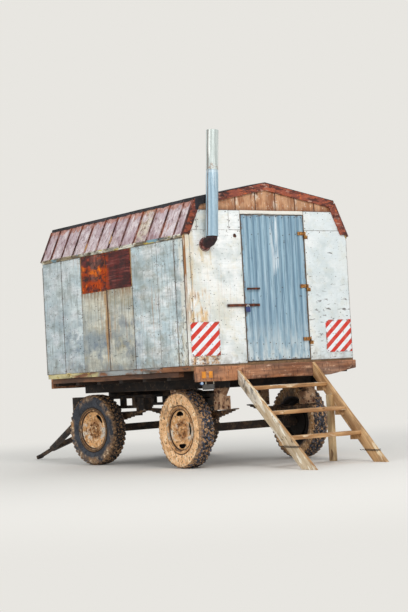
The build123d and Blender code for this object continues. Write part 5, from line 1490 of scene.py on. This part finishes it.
def pressed_disc(vents_at, shut):
    """The dished disc, its vents cut clean, apart from those that are caked shut and only dented."""
    dish = [(-0.054, 0.2525), (-0.067, 0.250), (-0.073, 0.245), (-0.076, 0.238), (-0.076, 0.228),
            (-0.0755, 0.218), (-0.075, 0.208), (-0.074, 0.198), (-0.073, 0.188), (-0.071, 0.178),
            (-0.067, 0.168), (-0.057, 0.154), (-0.049, 0.140), (-0.047, 0.125), (-0.047, 0.060)]
    disc = turned(dish, 96)
    angles = [math.radians(vents_at + number * 360 / VENTS) for number in range(VENTS)]
    gone, caked = [], set()
    for number, angle in enumerate(angles):
        inside = [f for f in disc.faces if math.hypot(*from_vent(f.calc_center_median(), angle)) < 1.0]
        if number in shut:
            caked.update(v for f in inside for v in f.verts)
        else:
            gone += inside
    for v in caked:
        v.co.x += 0.012
    bmesh.ops.delete(disc, geom=gone, context="FACES")
    for v in [v for v in disc.verts if v.is_boundary and 0.15 < off_axle(v.co) < 0.24]:
        for angle in angles:
            swing, radial = from_vent(v.co, angle)
            far = math.hypot(swing, radial)
            if far < 1.8:
                radius = VENT_CIRCLE + VENT_HALF_WIDE * radial / far
                swing = angle + VENT_HALF_LONG * swing / far / VENT_CIRCLE
                v.co = Vector((v.co.x, -math.cos(swing) * radius, math.sin(swing) * radius))
    bmesh.ops.recalc_face_normals(disc, faces=disc.faces)
    return thick(disc, 0.007)


def rim_and_hub(turn, vents_at, shut):
    """A pressed wheel: rolled flanges, gutter, dished disc with four vents, hub, nuts and rivets."""
    half = [(0.040, 0.252), (0.082, 0.2575), (0.088, 0.268), (0.094, 0.281), (0.099, 0.288),
            (0.097, 0.296), (0.090, 0.298), (0.086, 0.297), (0.0845, 0.285), (0.0845, BEAD)]
    rim = turned([(-x, r) for x, r in reversed(half)] + half, 72, closed=True)
    hub_and_drum = [(-0.096, 0.0), (-0.096, 0.030), (-0.090, 0.036), (-0.078, 0.040), (-0.074, 0.058),
                    (-0.066, 0.064), (-0.052, 0.066), (-0.050, 0.122), (-0.044, 0.125), (-0.024, 0.125),
                    (-0.022, 0.182), (-0.018, 0.185), (0.046, 0.185), (0.050, 0.180), (0.050, 0.0)]
    fixings = []
    for radius, reach, sides in ((0.015, 0.024, 6), (0.007, 0.040, 8)):
        fixing = bmesh.new()
        place = stood((-0.052 - reach / 2, 0, STUD_CIRCLE), math.pi / 2, "Y")
        bmesh.ops.create_cone(fixing, cap_ends=True, segments=sides, radius1=radius, radius2=radius * 0.9,
                              depth=reach, matrix=place)
        soften(fixing, 0.0015, segments=1)
        fixings.append(all_round(fixing, STUDS))
    whole = clap(rim, pressed_disc(vents_at, shut), turned(hub_and_drum, 40), *fixings)
    keep(keep(whole, "reach", off_axle), "inward", lambda spot: spot.x)
    return moved(whole, turn)


for word, side, steer, vents_at, shut, mud, treaded, crust, block in WHEELS:
    node, body = "tyre_" + word, "wheel_" + word
    hub = sum(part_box(node), Vector()) / 2
    turn = stood(hub, steer + (math.pi if side > 0 else 0), "Z")
    rubber = muddy_rubber("tyre_rubber_muddy_" + word, mud, treaded, crust, block)
    steel = muddy_wheel("pressed_steel_muddy_" + word, mud)
    hang("tyre_dressed_" + word, tyre(hub, turn, mud), rubber, "tyre_rubber", body, [node], crease=50)
    rim = rim_and_hub(turn, vents_at, shut)
    hang("wheel_dressed_" + word, rim, steel, "muddy_wheel_steel", body, [body])

# Camera, at the photograph's viewing angle; the wagon stands level and the camera is tilted instead
CAMERA_SPOT = (-11.101, -17.104, 1.144)
CAMERA_LENS = 88.07
YAW, PITCH, ROLL = math.radians(33.892), math.radians(2.652), math.radians(-3.129)
ahead = Vector((math.sin(YAW) * math.cos(PITCH), math.cos(YAW) * math.cos(PITCH), math.sin(PITCH)))
right = Vector((math.cos(YAW), -math.sin(YAW), 0))
above = right.cross(ahead)
lean = Matrix.Rotation(-ROLL, 3, ahead)
right, above = lean @ right, lean @ above
camera = bpy.data.objects.new("camera", bpy.data.cameras.new("camera"))
camera.data.lens = CAMERA_LENS
camera.data.sensor_width = 36.0
camera.data.clip_end = 2000.0
camera.matrix_world = laid(right, above, -ahead, CAMERA_SPOT)
bpy.context.scene.collection.objects.link(camera)
bpy.context.scene.camera = camera

# Studio: a pale floor that fades into a pale surround, a soft sky and three soft lamps
SURROUND = hue("e8e6e1")
FADE_FROM, FADE_TO = 4.0, 11.0
# Each lamp: its name, its place, its size and its power
LAMPS = (
    ("key", (-4.5, -14.5, 11.5), 5.0, 1150),
    ("fill", (-15.0, -2.0, 7.0), 7.0, 330),
    ("back", (10.0, 12.0, 9.0), 8.0, 420),
)
LAMPS_AIM = Vector((0, 0, 1.8))


def studio():
    """The floor, the surround and the lamps."""
    floor = bmesh.new()
    bmesh.ops.create_circle(floor, cap_ends=True, radius=900, segments=64)
    mesh = bpy.data.meshes.new("studio_floor")
    floor.to_mesh(mesh)
    floor.free()
    ground = bpy.data.objects.new("studio_floor", mesh)
    bpy.context.scene.collection.objects.link(ground)
    tree = open_tin("studio_floor_pale")
    shader = tree.nodes["Principled BSDF"]
    fill(tree, shader, {"Base Color": hue("e3e0da"), "Roughness": 0.95, "Specular IOR Level": 0.1})
    glow = add(tree, "Emission", {"Color": SURROUND, "Strength": 1.0})
    place = add(tree, "TexCoord", {}, out="Object")
    reach = add(tree, "VectorMath", {0: place}, out="Value", operation="LENGTH")
    fade = add(tree, "MapRange", {"Value": reach, "From Min": FADE_FROM, "From Max": FADE_TO},
               interpolation_type="SMOOTHSTEP")
    seen = add(tree, "LightPath", {}, out="Is Camera Ray")
    mixed = add(tree, "MixShader", {0: mask(tree, fade, seen), 1: shader.outputs[0], 2: glow})
    tree.links.new(mixed, tree.nodes["Material Output"].inputs["Surface"])
    mesh.materials.append(bpy.data.materials["studio_floor_pale"])

    world = bpy.data.worlds.new("studio_sky")
    world.use_nodes = True
    bpy.context.scene.world = world
    tree = world.node_tree
    rays = [add(tree, "LightPath", {}, out=kind)
            for kind in ("Is Camera Ray", "Is Glossy Ray", "Is Transmission Ray")]
    sky = add(tree, "Background", {"Color": (0.95, 0.975, 1.0, 1), "Strength": 0.72})
    pale = add(tree, "Background", {"Color": SURROUND, "Strength": 1.0})
    mixed = add(tree, "MixShader", {0: mask(tree, *rays, operation="MAXIMUM"), 1: sky, 2: pale})
    tree.links.new(mixed, tree.nodes["World Output"].inputs["Surface"])

    for name, spot, size, power in LAMPS:
        lamp = bpy.data.lights.new(name, "AREA")
        lamp.shape = "SQUARE"
        lamp.size = size
        lamp.energy = power
        holder = bpy.data.objects.new(name, lamp)
        holder.location = spot
        holder.rotation_mode = "QUATERNION"
        holder.rotation_quaternion = (Vector(spot) - LAMPS_AIM).to_track_quat("Z", "Y")
        bpy.context.scene.collection.objects.link(holder)


studio()
bpy.context.scene.view_settings.view_transform = "Standard"
